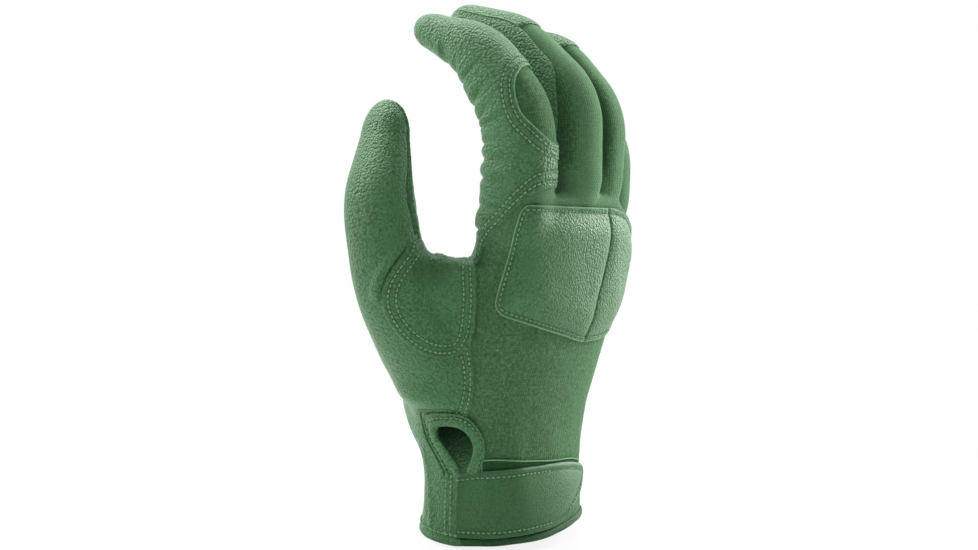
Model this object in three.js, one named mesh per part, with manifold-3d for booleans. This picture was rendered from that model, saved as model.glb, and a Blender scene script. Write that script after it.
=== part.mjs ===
// Right-hand tactical work glove, standing on its cuff with the fingers up and gently curled.
// Millimetres. +Z points to the fingertips, -Y to the back of the hand, +Y to the palm, -X to the thumb side.
import * as THREE from "three";
import Module from "manifold-3d";

const wasm = await Module();
wasm.setup();

// Material thicknesses and the room left between neighbouring pieces
const LEATHER = 1.5;
const KNIT = 1.5;
const BINDING = 1.2;
const LOOP = 0.8;
const HOOK = 0.8;
const CLEARANCE = 0.35;
const SEAM_ANGLE = 0.9;
const SECTION_POWER = 2.4;

// Height of the finger roots above the hem
const ROOT_LEVEL = 129;

// Fingers: width and depth at root, middle joint, tip joint and fingertip; bones from joint to joint
const FINGER_GAP = 0.8;
const FINGER_CENTRE = -1;
const FINGER_LEAN = 0.11;
const PANEL_HALF_ANGLE = 78;
const AROUND = 16;
const FINGERS = [
  {
    name: "index",
    back: -17.3,
    rise: ROOT_LEVEL + 6,
    splay: -0.05,
    bones: [24, 26.5, 30.5],
    rest: [6, 45, 35],
    flex: [6.5, 8.5, 6.5],
    widths: [21.5, 21.5, 19.5, 17],
    depths: [24, 22.5, 20, 16],
    dome: 8,
  },
  {
    name: "middle",
    back: -19.3,
    rise: ROOT_LEVEL + 8.5,
    splay: -0.015,
    bones: [27, 29, 31],
    rest: [5, 45, 34],
    flex: [6.5, 8.5, 6.5],
    widths: [21.5, 21.5, 19.5, 17],
    depths: [24, 22.5, 20, 16],
    dome: 8,
  },
  {
    name: "ring",
    back: -19.8,
    rise: ROOT_LEVEL + 7,
    splay: 0.02,
    bones: [25, 27, 29.5],
    rest: [6, 43, 32],
    flex: [6.5, 8.5, 6.5],
    widths: [21, 20.5, 18.5, 16],
    depths: [23, 21, 19, 15],
    dome: 8,
  },
  {
    name: "little",
    back: -13.4,
    rise: ROOT_LEVEL,
    splay: 0.06,
    bones: [20, 20, 24],
    rest: [9, 40, 30],
    flex: [6, 6.5, 5.5],
    widths: [19.5, 18.5, 17, 15],
    depths: [21, 18.5, 17, 14],
    dome: 7,
  },
];

// Thumb: the base belongs to the palm, then a knuckle, a tip joint and a closed tip
const THUMB = {
  name: "thumb",
  root: new THREE.Vector3(-15.6, 9.9, 41.5),
  aim: new THREE.Vector3(-0.576, 0.161, 0.801),
  side: new THREE.Vector3(0.3, -1, 0),
  bones: [65.8, 29.5, 39],
  rest: [0, 28.7, 19.6],
  flex: [0, 8.5, 8],
  widths: [24, 26.2, 22.8, 15.5],
  depths: [22, 25.8, 22.6, 14.5],
  belly: { at: 36, width: 30, depth: 31 },
  dome: 12,
};
const THUMB_SEAM = 135;

// Hand body, from the hem up to the finger roots
const CUFF_HALF_WIDTH = 34.5;
const CUFF_HALF_DEPTH = 25.3;
const THENAR_ANGLE = -145;
const ROWS_BEND_FROM = 92;

// Hem, slit and strap on the cuff
const HEM_HEIGHT = 3.2;
const SLIT_LOW = 24;
const SLIT_TOP = 44.5;
const SLIT_ANGLE = -90;
const SLIT_PALM_BULGE = 25;
const SLIT_BACK_BULGE = 9;
const SLIT_CLOSED = 3;
const SLIT_RIM = 3.2;
const DIAGONAL_FROM = 104;
const DIAGONAL_ANGLE = -25;
const STRAP_LOW = 3.8;
const STRAP_TOP = 30;
const STRAP_TIP_FROM = -2;
const STRAP_END = 19;
const STRAP_CORNER = 6;
const LOOP_TOP = 34;
const LOOP_FROM = -64;
const LOOP_TO = 52;
const HOOK_FROM = -32;
const STRAP_BASE = LOOP + HOOK + 3 * CLEARANCE;

// Knuckle guard
const PAD_TOP = 131;
const PAD_LOW_CENTRE = 77;
const PAD_LOW_EDGE = 92;
const PAD_RADIAL = -68;
const PAD_CREASE = 8;
const PAD_ULNAR = 66;
const PAD_FLANGE = 0.13;
const PAD_PUFF = 3.6;
const PAD_COVER = 1.4;
const PAD_CELLS = 10;

// Thumb-crotch patch: heights on the hand side, lengths on the thumb side
const PATCH_HAND_LOW = 74;
const PATCH_HAND_TOP = 103;
const PATCH_THUMB_LOW = 43;
const PATCH_THUMB_TOP = 80;
const PATCH_WRAP_FROM = 5;
const PATCH_WRAP_TO = 92;
const PATCH_LIFT = 0.8;

const COLOURS = {
  leather: 0x5f8261,
  knit: 0x47694a,
  pad: 0x6b8d6d,
  trim: 0x3a5b3c,
  foam: 0x8aa88c,
};

const radians = THREE.MathUtils.degToRad;

/** Value at x of a smooth curve through the points, never overshooting them. */
function through(xs, ys, x) {
  const last = xs.length - 1;
  if (x <= xs[0]) return ys[0];
  if (x >= xs[last]) return ys[last];
  let k = 0;
  while (x > xs[k + 1]) k += 1;
  const slope = (i) => (ys[i + 1] - ys[i]) / (xs[i + 1] - xs[i]);
  const tangent = (i) => {
    if (i === 0) return slope(0);
    if (i === last) return slope(last - 1);
    const before = slope(i - 1);
    const after = slope(i);
    return before * after <= 0 ? 0 : (2 * before * after) / (before + after);
  };
  const h = xs[k + 1] - xs[k];
  const t = (x - xs[k]) / h;
  const a = (1 + 2 * t) * (1 - t) * (1 - t) * ys[k];
  const b = t * (1 - t) * (1 - t) * h * tangent(k);
  const c = t * t * (3 - 2 * t) * ys[k + 1];
  const d = t * t * (t - 1) * h * tangent(k + 1);
  return a + b + c + d;
}

/** Rounded-box section: signed power of a sine or cosine. */
function rounded(value) {
  return Math.sign(value) * Math.abs(value) ** (2 / SECTION_POWER);
}

/** Evenly spaced numbers from start to end, both included. */
function spread(start, end, steps) {
  return Array.from({ length: steps + 1 }, (_, i) => start + ((end - start) * i) / steps);
}

/** Closed geometry from positions and triangles, turned to face outwards. */
function closedGeometry(points, triangles) {
  const at = (i) => points[i];
  let volume = 0;
  for (const [a, b, c] of triangles) {
    volume += at(a).dot(new THREE.Vector3().crossVectors(at(b), at(c)));
  }
  const index = volume < 0 ? triangles.map(([a, b, c]) => [a, c, b]) : triangles;
  const geometry = new THREE.BufferGeometry();
  const flat = new Float32Array(points.flatMap((p) => [p.x, p.y, p.z]));
  geometry.setAttribute("position", new THREE.BufferAttribute(flat, 3));
  geometry.setIndex(index.flat());
  geometry.computeVertexNormals();
  return geometry;
}

/** Solid between an outer and an inner sheet of points, as an open plate, a sleeve or a cup. */
function solidBetween(outer, inner, { wrap = false, cup = false } = {}) {
  const rows = outer.length;
  const cols = outer[0].length;
  const points = [...outer.flat(), ...inner.flat()];
  const id = (layer, i, j) => (layer * rows + i) * cols + (wrap ? j % cols : j);
  const triangles = [];
  const quad = (a, b, c, d) => triangles.push([a, b, c], [a, c, d]);
  const spans = wrap ? cols : cols - 1;
  for (let i = 0; i + 1 < rows; i += 1) {
    for (let j = 0; j < spans; j += 1) {
      quad(id(0, i, j), id(0, i, j + 1), id(0, i + 1, j + 1), id(0, i + 1, j));
      quad(id(1, i, j), id(1, i + 1, j), id(1, i + 1, j + 1), id(1, i, j + 1));
    }
    if (!wrap) {
      quad(id(0, i, 0), id(0, i + 1, 0), id(1, i + 1, 0), id(1, i, 0));
      quad(id(0, i, spans), id(1, i, spans), id(1, i + 1, spans), id(0, i + 1, spans));
    }
  }
  const end = rows - 1;
  for (let j = 0; j < spans; j += 1) {
    quad(id(0, 0, j), id(1, 0, j), id(1, 0, j + 1), id(0, 0, j + 1));
    if (!cup) quad(id(0, end, j), id(0, end, j + 1), id(1, end, j + 1), id(1, end, j));
  }
  if (cup) {
    const middle = (sheet) => {
      const sum = new THREE.Vector3();
      sheet[end].forEach((p) => sum.add(p));
      return sum.divideScalar(cols);
    };
    points.push(middle(outer), middle(inner));
    const outerPole = points.length - 2;
    const innerPole = points.length - 1;
    for (let j = 0; j < spans; j += 1) {
      triangles.push([id(0, end, j), id(0, end, j + 1), outerPole]);
      triangles.push([id(1, end, j + 1), id(1, end, j), innerPole]);
    }
  }
  return closedGeometry(points, triangles);
}

/** Full solid from a stack of closed rings with flat ends. */
function solidFromRings(rings) {
  const cols = rings[0].length;
  const points = rings.flat();
  const triangles = [];
  const id = (i, j) => i * cols + (j % cols);
  for (let i = 0; i + 1 < rings.length; i += 1) {
    for (let j = 0; j < cols; j += 1) {
      triangles.push([id(i, j), id(i, j + 1), id(i + 1, j + 1)], [id(i, j), id(i + 1, j + 1), id(i + 1, j)]);
    }
  }
  for (const [ring, flip] of [[0, true], [rings.length - 1, false]]) {
    const sum = new THREE.Vector3();
    rings[ring].forEach((p) => sum.add(p));
    points.push(sum.divideScalar(cols));
    const pole = points.length - 1;
    for (let j = 0; j < cols; j += 1) {
      const a = id(ring, j);
      const b = id(ring, j + 1);
      triangles.push(flip ? [b, a, pole] : [a, b, pole]);
    }
  }
  return closedGeometry(points, triangles);
}

/** Closed geometry as a boolean solid. */
function toSolid(geometry) {
  return new wasm.Manifold(
    new wasm.Mesh({
      numProp: 3,
      vertProperties: new Float32Array(geometry.attributes.position.array),
      triVerts: new Uint32Array(geometry.index.array),
    }),
  );
}

/** Largest body of a boolean result as geometry. */
function fromSolid(solid) {
  const bodies = solid.decompose();
  bodies.sort((a, b) => b.volume() - a.volume());
  const mesh = bodies[0].getMesh();
  const geometry = new THREE.BufferGeometry();
  geometry.setAttribute("position", new THREE.BufferAttribute(new Float32Array(mesh.vertProperties), 3));
  geometry.setIndex(Array.from(mesh.triVerts));
  geometry.computeVertexNormals();
  return geometry;
}

/** Named mesh of one material colour. */
function piece(name, geometry, colour, roughness = 0.8) {
  const mesh = new THREE.Mesh(geometry, new THREE.MeshStandardMaterial({ color: colour, roughness }));
  mesh.name = name;
  return mesh;
}

/** A finger or thumb: a chain of joints, each a group in the one before, with straight bones between. */
class Digit {
  constructor(spec) {
    this.spec = spec;
    this.length = spec.bones.reduce((sum, bone) => sum + bone, 0);
    const z = spec.aim.clone().normalize();
    const x = spec.side.clone().addScaledVector(z, -spec.side.dot(z)).normalize();
    const y = new THREE.Vector3().crossVectors(z, x);
    this.group = new THREE.Group();
    this.group.name = spec.name;
    this.group.position.copy(spec.root);
    this.group.quaternion.setFromRotationMatrix(new THREE.Matrix4().makeBasis(x, y, z));
    this.joints = [];
    this.bones = [];
    this.starts = [];
    let holder = this.group;
    let start = 0;
    spec.bones.forEach((bone, i) => {
      const joint = new THREE.Group();
      joint.name = `${spec.name}_joint_${i + 1}`;
      joint.position.z = i === 0 ? 0 : spec.bones[i - 1];
      const pivot = new THREE.Group();
      pivot.name = `${spec.name}_bone_${i + 1}`;
      pivot.rotation.x = -radians(spec.rest[i]);
      joint.add(pivot);
      holder.add(joint);
      this.joints.push(joint);
      this.bones.push(pivot);
      this.starts.push(start);
      holder = pivot;
      start += bone;
    });
    const belly = spec.belly ? [spec.belly] : [];
    const corners = [0, this.starts[1], this.starts[2], this.length - spec.dome];
    this.stations = [corners[0], ...belly.map((b) => b.at), ...corners.slice(1)];
    this.halfWidths = [spec.widths[0], ...belly.map((b) => b.width), ...spec.widths.slice(1)].map((w) => w / 2);
    this.halfDepths = [spec.depths[0], ...belly.map((b) => b.depth), ...spec.depths.slice(1)].map((w) => w / 2);
  }

  /** Point of the section at a length along the digit: angle 0 is the back, 90 the little-finger side. */
  sectionPoint(along, angle, offset, shrink = 1) {
    const a = (through(this.stations, this.halfWidths, along) + offset) * shrink;
    const b = (through(this.stations, this.halfDepths, along) + offset) * shrink;
    return [a * rounded(Math.sin(radians(angle))), -b * rounded(Math.cos(radians(angle)))];
  }

  /** Ring of points across bone i, at height z above its joint. */
  ring(i, z, angles, offset) {
    return angles.map((angle) => {
      const [x, y] = this.sectionPoint(this.starts[i] + z, angle, offset);
      return new THREE.Vector3(x, y, z);
    });
  }

  /** Ring of the closed tip, at a turn of 0 to 90 degrees over the dome. */
  domeRing(i, turn, angles, offset) {
    const { bones, dome } = this.spec;
    const foot = bones[i] - dome;
    return angles.map((angle) => {
      const [x, y] = this.sectionPoint(this.starts[i] + foot, angle, offset, Math.cos(radians(turn)));
      return new THREE.Vector3(x, y, foot + (dome + offset) * Math.sin(radians(turn)));
    });
  }

  /** Ring inside the crease of joint i, at a share of its bend. */
  creaseRing(i, share, angles, offset) {
    const reach = this.spec.flex[i];
    const bend = radians(this.spec.rest[i]);
    const turn = bend * share;
    const radius = bend > 1e-6 ? reach / Math.tan(bend / 2) : 0;
    const centreY = bend > 1e-6 ? radius * (1 - Math.cos(turn)) : 0;
    const centreZ = bend > 1e-6 ? -reach + radius * Math.sin(turn) : -reach + 2 * reach * share;
    return angles.map((angle) => {
      const [x, y] = this.sectionPoint(this.starts[i] - reach + 2 * reach * share, angle, offset);
      return new THREE.Vector3(x, centreY + y * Math.cos(turn), centreZ - y * Math.sin(turn));
    });
  }

  /** Point of the outside at a length along the first two bones, in the glove's frame. */
  skin(along, angle, offset) {
    this.group.updateMatrixWorld(true);
    const corner = this.spec.bones[0];
    const reach = this.spec.flex[1];
    if (along < corner - reach) {
      return this.ring(0, along, [angle], offset)[0].applyMatrix4(this.group.matrixWorld);
    }
    if (along < corner + reach) {
      const share = (along - corner + reach) / (2 * reach);
      return this.creaseRing(1, share, [angle], offset)[0].applyMatrix4(this.joints[1].matrixWorld);
    }
    return this.ring(1, along - corner, [angle], offset)[0].applyMatrix4(this.bones[1].matrixWorld);
  }

  /** Straight panel of bone i between two angles. */
  panel(i, from, to, cols, thickness) {
    const low = this.spec.flex[i] + CLEARANCE;
    const high = this.spec.bones[i] - this.spec.flex[i + 1] - CLEARANCE;
    const angles = spread(from, to, cols);
    const heights = spread(low, high, 2);
    const sheet = (offset) => heights.map((z) => this.ring(i, z, angles, offset));
    return solidBetween(sheet(0), sheet(-thickness));
  }

  /** Closed end of the digit. */
  tip(thickness) {
    const i = this.spec.bones.length - 1;
    const angles = spread(0, 360, AROUND).slice(0, -1);
    const heights = spread(this.spec.flex[i] + CLEARANCE, this.spec.bones[i] - this.spec.dome, 2);
    const turns = [28, 52, 72];
    const sheet = (offset) => [
      ...heights.map((z) => this.ring(i, z, angles, offset)),
      ...turns.map((turn) => this.domeRing(i, turn, angles, offset)),
    ];
    return solidBetween(sheet(0), sheet(-thickness), { wrap: true, cup: true });
  }

  /** Soft sleeve of joint i. */
  crease(i, thickness) {
    const angles = spread(0, 360, AROUND).slice(0, -1);
    const shares = spread(0, 1, this.spec.rest[i] > 20 ? 3 : 1);
    const sheet = (offset) => shares.map((share) => this.creaseRing(i, share, angles, offset));
    return solidBetween(sheet(0), sheet(-thickness), { wrap: true });
  }

  /** Solid of the first bone, for joining it to the hand. */
  baseSolid(offset, from, past) {
    const angles = spread(0, 360, 22).slice(0, -1);
    const top = this.spec.bones[0] - this.spec.flex[1] - CLEARANCE + past;
    const geometry = solidFromRings(spread(from, top, 6).map((z) => this.ring(0, z, angles, offset)));
    this.group.updateMatrixWorld(true);
    return toSolid(geometry.applyMatrix4(this.group.matrixWorld));
  }
}

// Finger roots stand side by side
const rootSpan = FINGERS.reduce((sum, f) => sum + f.widths[0], 0) + FINGER_GAP * (FINGERS.length - 1);
let rootEdge = FINGER_CENTRE - rootSpan / 2;
const digits = FINGERS.map((finger) => {
  const root = new THREE.Vector3(rootEdge + finger.widths[0] / 2, finger.back, finger.rise);
  rootEdge += finger.widths[0] + FINGER_GAP;
  const aim = new THREE.Vector3(finger.splay, -FINGER_LEAN, 1);
  return new Digit({ ...finger, root, aim, side: new THREE.Vector3(1, 0, 0) });
});
const thumb = new Digit(THUMB);

// Hand sections: centre, half width, depth to the back and depth to the palm at each height
const rootDepth = Math.max(...FINGERS.map((f) => f.depths[0])) / 2;
const HAND = {
  z: [0, 10, 20, 29, 38, 50, 60, 72, 102, ROOT_LEVEL],
  centreX: [0, 0, 0, 0, -0.4, -1, -1.5, -2, -0.5, FINGER_CENTRE],
  centreY: [1.2, 1.2, 1.2, 1, 0.7, -0.2, -1.4, -3.2, -10, -17.5],
  half: [0, 0, -0.1, -0.3, -0.1, 0.5, 1.8, 3.5, 7.5].map((d) => CUFF_HALF_WIDTH + d).concat(rootSpan / 2),
  back: [1.9, 1.5, 0.1, -1.7, -2.5, -2.1, -1.1, -0.7, -6.3].map((d) => CUFF_HALF_DEPTH + d).concat(rootDepth + 1.2),
  palm: [-0.7, -2.5, -1.5, 1.5, 5.9, 8.9, 7.5, 3.2, -7.3].map((d) => CUFF_HALF_DEPTH + d).concat(rootDepth + 1),
  thenar: [0, 0, 0, 0.4, 3.4, 5.8, 1.8, 0, 0, 0],
};

/** Point of the hand body: angle 0 is the back, 90 the little-finger side, 180 the palm, -90 the thumb side. */
function handPoint(z, angle, offset) {
  const read = (key) => through(HAND.z, HAND[key], z);
  const across = rounded(Math.sin(radians(angle)));
  const deep = rounded(Math.cos(radians(angle)));
  const towardsThumb = Math.cos(radians(angle - THENAR_ANGLE));
  const swell = THREE.MathUtils.smoothstep(towardsThumb, 0, 0.85);
  const depth = deep > 0 ? read("back") : read("palm") + swell * read("thenar");
  return new THREE.Vector3(
    read("centreX") + (read("half") + offset) * across,
    read("centreY") - (depth + offset) * deep,
    z,
  );
}

/** The point moved straight out of the hand's section where it lies inside it, by the offset over its skin. */
function outOfHand(p, offset) {
  const read = (key) => through(HAND.z, HAND[key], p.z);
  const centre = new THREE.Vector3(read("centreX"), read("centreY"), p.z);
  const from = p.clone().sub(centre);
  const across = Math.abs(from.x) / (read("half") + offset);
  const deep = Math.abs(from.y) / (read(from.y < 0 ? "back" : "palm") + offset);
  const share = (across ** SECTION_POWER + deep ** SECTION_POWER) ** (1 / SECTION_POWER);
  return share < 1 ? centre.addScaledVector(from, 1 / share) : p;
}

/** Height of the hand's top edge at an angle, just under the finger roots there. */
function topEdge(angle) {
  const p = handPoint(ROOT_LEVEL, angle, 0);
  const reach = 2.5;
  const heights = digits
    .filter((d) => Math.abs(p.x - d.spec.root.x) < d.spec.widths[0] / 2 + reach)
    .map((d) => {
      const { root, aim, flex } = d.spec;
      const tilt = (aim.x * (p.x - root.x) + aim.y * (p.y - root.y)) / aim.z;
      return root.z - tilt - flex[0] * aim.length();
    });
  return Math.min(...heights) - CLEARANCE;
}

/** Nominal height stretched so that the top row follows the finger roots. */
function liftedHeight(z, angle) {
  if (z <= ROWS_BEND_FROM) return z;
  return ROWS_BEND_FROM + ((z - ROWS_BEND_FROM) * (topEdge(angle) - ROWS_BEND_FROM)) / (ROOT_LEVEL - ROWS_BEND_FROM);
}

/** Share of the slit's bulge at a height: 0 where it is closed, 1 where it is widest. */
function slitShare(z) {
  if (z <= SLIT_LOW || z >= SLIT_TOP) return 0;
  const t = (z - SLIT_LOW) / (SLIT_TOP - SLIT_LOW);
  return Math.sin(Math.PI * t ** 0.85) ** 0.8;
}

/** Edge of the palm leather on the thumb side: the slit, then the seam, then the diagonal to the index root. */
function palmEdge(z) {
  const closed = z < SLIT_TOP ? SLIT_CLOSED * Math.min(1, (SLIT_TOP - z) / 8) : 0;
  const slit = SLIT_ANGLE - SLIT_PALM_BULGE * slitShare(z) - closed;
  if (z < DIAGONAL_FROM) return slit;
  const t = Math.min(1, (z - DIAGONAL_FROM) / (ROOT_LEVEL - DIAGONAL_FROM));
  return slit + (DIAGONAL_ANGLE - SLIT_ANGLE) * t ** 1.3;
}

/** Edge of the knit back on the thumb side. */
function backEdge(z) {
  const closed = z < SLIT_TOP ? SLIT_CLOSED * Math.min(1, (SLIT_TOP - z) / 8) : 0;
  if (z < SLIT_TOP) return SLIT_ANGLE + SLIT_BACK_BULGE * slitShare(z) + closed + SEAM_ANGLE;
  return palmEdge(z) + SEAM_ANGLE;
}

const HAND_ROWS = [
  BINDING + CLEARANCE,
  HEM_HEIGHT,
  ...spread(12, SLIT_LOW, 1),
  ...spread(SLIT_LOW, SLIT_TOP, 7).slice(1),
  ...spread(SLIT_TOP, DIAGONAL_FROM, 6).slice(1),
  ...spread(DIAGONAL_FROM, ROOT_LEVEL, 4).slice(1),
];

/** Plate on the hand between two heights and two angles that may follow the height. */
function handPlate(rows, from, to, cols, inner, outer, steps = {}) {
  const angleFrom = typeof from === "function" ? from : () => from;
  const angleTo = typeof to === "function" ? to : () => to;
  const lift = steps.lift ?? liftedHeight;
  const sheet = (offset) =>
    rows.map((z) =>
      spread(angleFrom(z), angleTo(z), cols).map((angle) => {
        const amount = typeof offset === "function" ? offset(z, angle) : offset;
        return handPoint(lift(z, angle), angle, amount);
      }),
    );
  return solidBetween(sheet(outer), sheet(inner));
}

/** Full solid of the hand body grown by an offset, reaching past its ends by a margin. */
function handSolid(offset, past) {
  const angles = spread(0, 360, 36).slice(0, -1);
  const rows = [...HAND_ROWS];
  const rings = rows.map((z, i) =>
    angles.map((angle) => {
      const p = handPoint(liftedHeight(z, angle), angle, offset);
      if (i === 0) p.z -= past;
      if (i === rows.length - 1) p.z += past;
      return p;
    }),
  );
  return toSolid(solidFromRings(rings));
}

/** Hand and thumb base as one solid. */
function bodySolid(offset, past) {
  return handSolid(offset, past).add(thumb.baseSolid(offset, past > 0 ? 2 : 0, past));
}

const glove = new THREE.Group();
glove.name = "tactical_glove";
const hand = new THREE.Group();
hand.name = "hand";
glove.add(hand);

// Palm, with the thumb base, and the knit back
const skin = bodySolid(0, 0).subtract(bodySolid(-LEATHER, 6));
const backRows = [-4, ...HAND_ROWS.slice(1, -1), ROOT_LEVEL, ROOT_LEVEL + 6];
const backRoom = toSolid(handPlate(backRows, palmEdge, 90 + SEAM_ANGLE, 18, -9, 26));
hand.add(piece("palm_panel", fromSolid(skin.subtract(backRoom)), COLOURS.leather));
hand.add(piece("back_panel", handPlate(HAND_ROWS, backEdge, 90, 18, -KNIT, 0), COLOURS.knit, 0.95));

// Thumb-crotch patch: a soft sheet that wraps the thumb's base and reaches over to the hand's seam

/** Sheet of the patch at an offset: rows from its foot to the crotch, columns from the thumb to the hand. */
function patchSheet(offset) {
  return spread(0, 1, 8).map((s) => {
    const along = PATCH_THUMB_LOW + (PATCH_THUMB_TOP - PATCH_THUMB_LOW) * s;
    const bow = Math.sqrt(Math.max(0, 1 - ((s - 0.45) / 0.56) ** 2));
    const wrapFrom = PATCH_WRAP_TO + (PATCH_WRAP_FROM - PATCH_WRAP_TO) * bow;
    const onThumb = spread(wrapFrom, PATCH_WRAP_TO, 6).map((angle) => thumb.skin(along, angle, offset));
    const height = PATCH_HAND_LOW + (PATCH_HAND_TOP - PATCH_HAND_LOW) * s;
    const onHand = handPoint(height, palmEdge(height) - SEAM_ANGLE, offset);
    const reach = 0.35 + 0.65 * Math.min(1, s / 0.3);
    const last = onThumb[onThumb.length - 1];
    const across = spread(0, reach, 3).slice(1).map((t) => last.clone().lerp(onHand, t));
    return [...onThumb, ...across].map((p) => outOfHand(p, offset));
  });
}

const patchPlate = solidBetween(patchSheet(PATCH_LIFT + LEATHER), patchSheet(PATCH_LIFT));
hand.add(piece("thumb_crotch_patch", patchPlate, COLOURS.leather));

// Hem binding: a channel over the cuff's edge, open at the slit
const hemOut = CLEARANCE + BINDING;
const hemIn = -(Math.max(LEATHER, KNIT) + CLEARANCE + BINDING);
const hemProfile = [
  [hemIn, 0],
  [hemOut, 0],
  [hemOut, HEM_HEIGHT],
  [CLEARANCE, HEM_HEIGHT],
  [CLEARANCE, BINDING],
  [hemIn + BINDING, BINDING],
  [hemIn + BINDING, HEM_HEIGHT],
  [hemIn, HEM_HEIGHT],
];

/** Solid of a flat profile (offset, height) carried round the hand between two angles. */
function aroundHand(profile, from, to, steps) {
  const angles = spread(from, to, steps);
  const points = angles.flatMap((angle) => profile.map(([offset, z]) => handPoint(z, angle, offset)));
  const count = profile.length;
  const triangles = [];
  for (let i = 0; i < steps; i += 1) {
    for (let j = 0; j < count; j += 1) {
      const a = i * count + j;
      const b = i * count + ((j + 1) % count);
      triangles.push([a, b, b + count], [a, b + count, a + count]);
    }
  }
  const flat = profile.map(([x, y]) => new THREE.Vector2(x, y));
  const ends = THREE.ShapeUtils.triangulateShape(flat, []);
  for (const [a, b, c] of ends) {
    triangles.push([a, c, b]);
    triangles.push([a + steps * count, b + steps * count, c + steps * count]);
  }
  return closedGeometry(points, triangles);
}

const hemFrom = SLIT_ANGLE + SLIT_CLOSED + SEAM_ANGLE;
const hemTo = 360 + SLIT_ANGLE - SLIT_CLOSED;
hand.add(piece("hem_binding", aroundHand(hemProfile, hemFrom, hemTo, 36), COLOURS.trim));

// Slit binding: a strip along both edges of the vent, over its top
const slitHeights = spread(STRAP_TOP + 1, SLIT_TOP - 1.5, 5);

/** Strip of the slit binding: points along the rim, each with an inner and an outer edge. */
function slitStrip() {
  const rim = [
    ...slitHeights.map((z) => ({ z, angle: palmEdge(z), side: -1 })),
    { z: SLIT_TOP + 0.4, angle: SLIT_ANGLE, side: 0 },
    ...[...slitHeights].reverse().map((z) => ({ z, angle: backEdge(z), side: 1 })),
  ];
  const lowest = CLEARANCE;
  const highest = CLEARANCE + BINDING;
  const wide = (p, share) => {
    const slope = p.side === 0 ? 0 : 1;
    const degrees = (SLIT_RIM / CUFF_HALF_WIDTH) * (180 / Math.PI);
    const rise = SLIT_RIM * Math.max(0, 1 - (SLIT_TOP - p.z) / 8);
    return [p.z + rise * share, p.angle + p.side * slope * degrees * share];
  };
  const sheet = (offset) =>
    rim.map((p) => [0, 0.5, 1].map((share) => {
      const [z, angle] = wide(p, share);
      return handPoint(z, angle, offset);
    }));
  return solidBetween(sheet(highest), sheet(lowest));
}

const slitRoom = bodySolid(CLEARANCE / 2, 0);
hand.add(piece("slit_binding", fromSolid(toSolid(slitStrip()).subtract(slitRoom)), COLOURS.trim));

// Loop patch on the back of the wrist
const plain = (z) => z;
const cuffRows = spread(STRAP_LOW, STRAP_TOP, 3);
const loopRows = spread(STRAP_LOW, LOOP_TOP, 3);
const loopPlate = handPlate(loopRows, LOOP_FROM, LOOP_TO, 14, CLEARANCE, CLEARANCE + LOOP, { lift: plain });
hand.add(piece("loop_patch", loopPlate, COLOURS.trim, 0.98));

// Knuckle guard: two padded cells, each a leather cover over a foam block

/** Lower edge of the guard at an angle, lowest at the crease. */
function padLow(angle) {
  const share = angle < PAD_CREASE
    ? (PAD_CREASE - angle) / (PAD_CREASE - PAD_RADIAL)
    : (angle - PAD_CREASE) / (PAD_ULNAR - PAD_CREASE);
  return PAD_LOW_CENTRE + (PAD_LOW_EDGE - PAD_LOW_CENTRE) * share;
}

/** Swell of a padded cell, from 0 on its flange to 1 in the middle. */
function swell(s, t) {
  const ramp = (x) => {
    const inside = (Math.min(x, 1 - x) - PAD_FLANGE) / (0.5 - PAD_FLANGE);
    return inside <= 0 ? 0 : Math.sin((Math.PI / 2) * Math.min(1, inside)) ** 0.7;
  };
  return ramp(s) * ramp(t);
}

/** Upper edge of the guard at an angle, under the finger roots. */
function padTop(angle) {
  return Math.min(PAD_TOP, topEdge(angle));
}

for (const [name, from, to] of [
  ["radial", PAD_RADIAL, PAD_CREASE - 1],
  ["ulnar", PAD_CREASE + 1, PAD_ULNAR],
]) {
  const rows = spread(0, 1, PAD_CELLS);
  const turns = spread(from, to, PAD_CELLS);
  const lift = (s, angle) => padLow(angle) + (padTop(angle) - padLow(angle)) * s;
  const base = (s, angle) => CLEARANCE + PAD_PUFF * swell(s, (angle - from) / (to - from));
  const cover = (s, angle) => base(s, angle) + PAD_COVER;
  const coverPlate = handPlate(rows, from, to, PAD_CELLS, base, cover, { lift });
  hand.add(piece(`knuckle_pad_${name}`, coverPlate, COLOURS.pad, 0.6));
  const foamTop = (s, angle) => base(s, angle) - CLEARANCE;
  const inset = Math.ceil(PAD_FLANGE * PAD_CELLS);
  const foamRows = rows.slice(inset, -inset);
  const foamCells = PAD_CELLS - 2 * inset;
  const foamFrom = turns[inset];
  const foamTo = turns[PAD_CELLS - inset];
  const foam = handPlate(foamRows, foamFrom, foamTo, foamCells, CLEARANCE, foamTop, { lift });
  hand.add(piece(`knuckle_foam_${name}`, foam, COLOURS.foam, 0.9));
}

// Fingers
for (const digit of digits) {
  const { name } = digit.spec;
  const labels = ["proximal", "middle"];
  labels.forEach((label, i) => {
    const backColour = name === "index" && i === 1 ? COLOURS.leather : COLOURS.knit;
    const half = PANEL_HALF_ANGLE;
    const back = digit.panel(i, -half, half, 8, KNIT);
    const palm = digit.panel(i, half + 2 * SEAM_ANGLE, 360 - half - 2 * SEAM_ANGLE, 10, LEATHER);
    digit.bones[i].add(piece(`${name}_${label}_back`, back, backColour, 0.95));
    digit.bones[i].add(piece(`${name}_${label}_palm`, palm, COLOURS.leather));
  });
  digit.bones[2].add(piece(`${name}_tip`, digit.tip(LEATHER), COLOURS.leather));
  ["knuckle", "middle", "tip"].forEach((label, i) => {
    digit.joints[i].add(piece(`${name}_${label}_crease`, digit.crease(i, LEATHER), COLOURS.knit, 0.95));
  });
  glove.add(digit.group);
}

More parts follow.
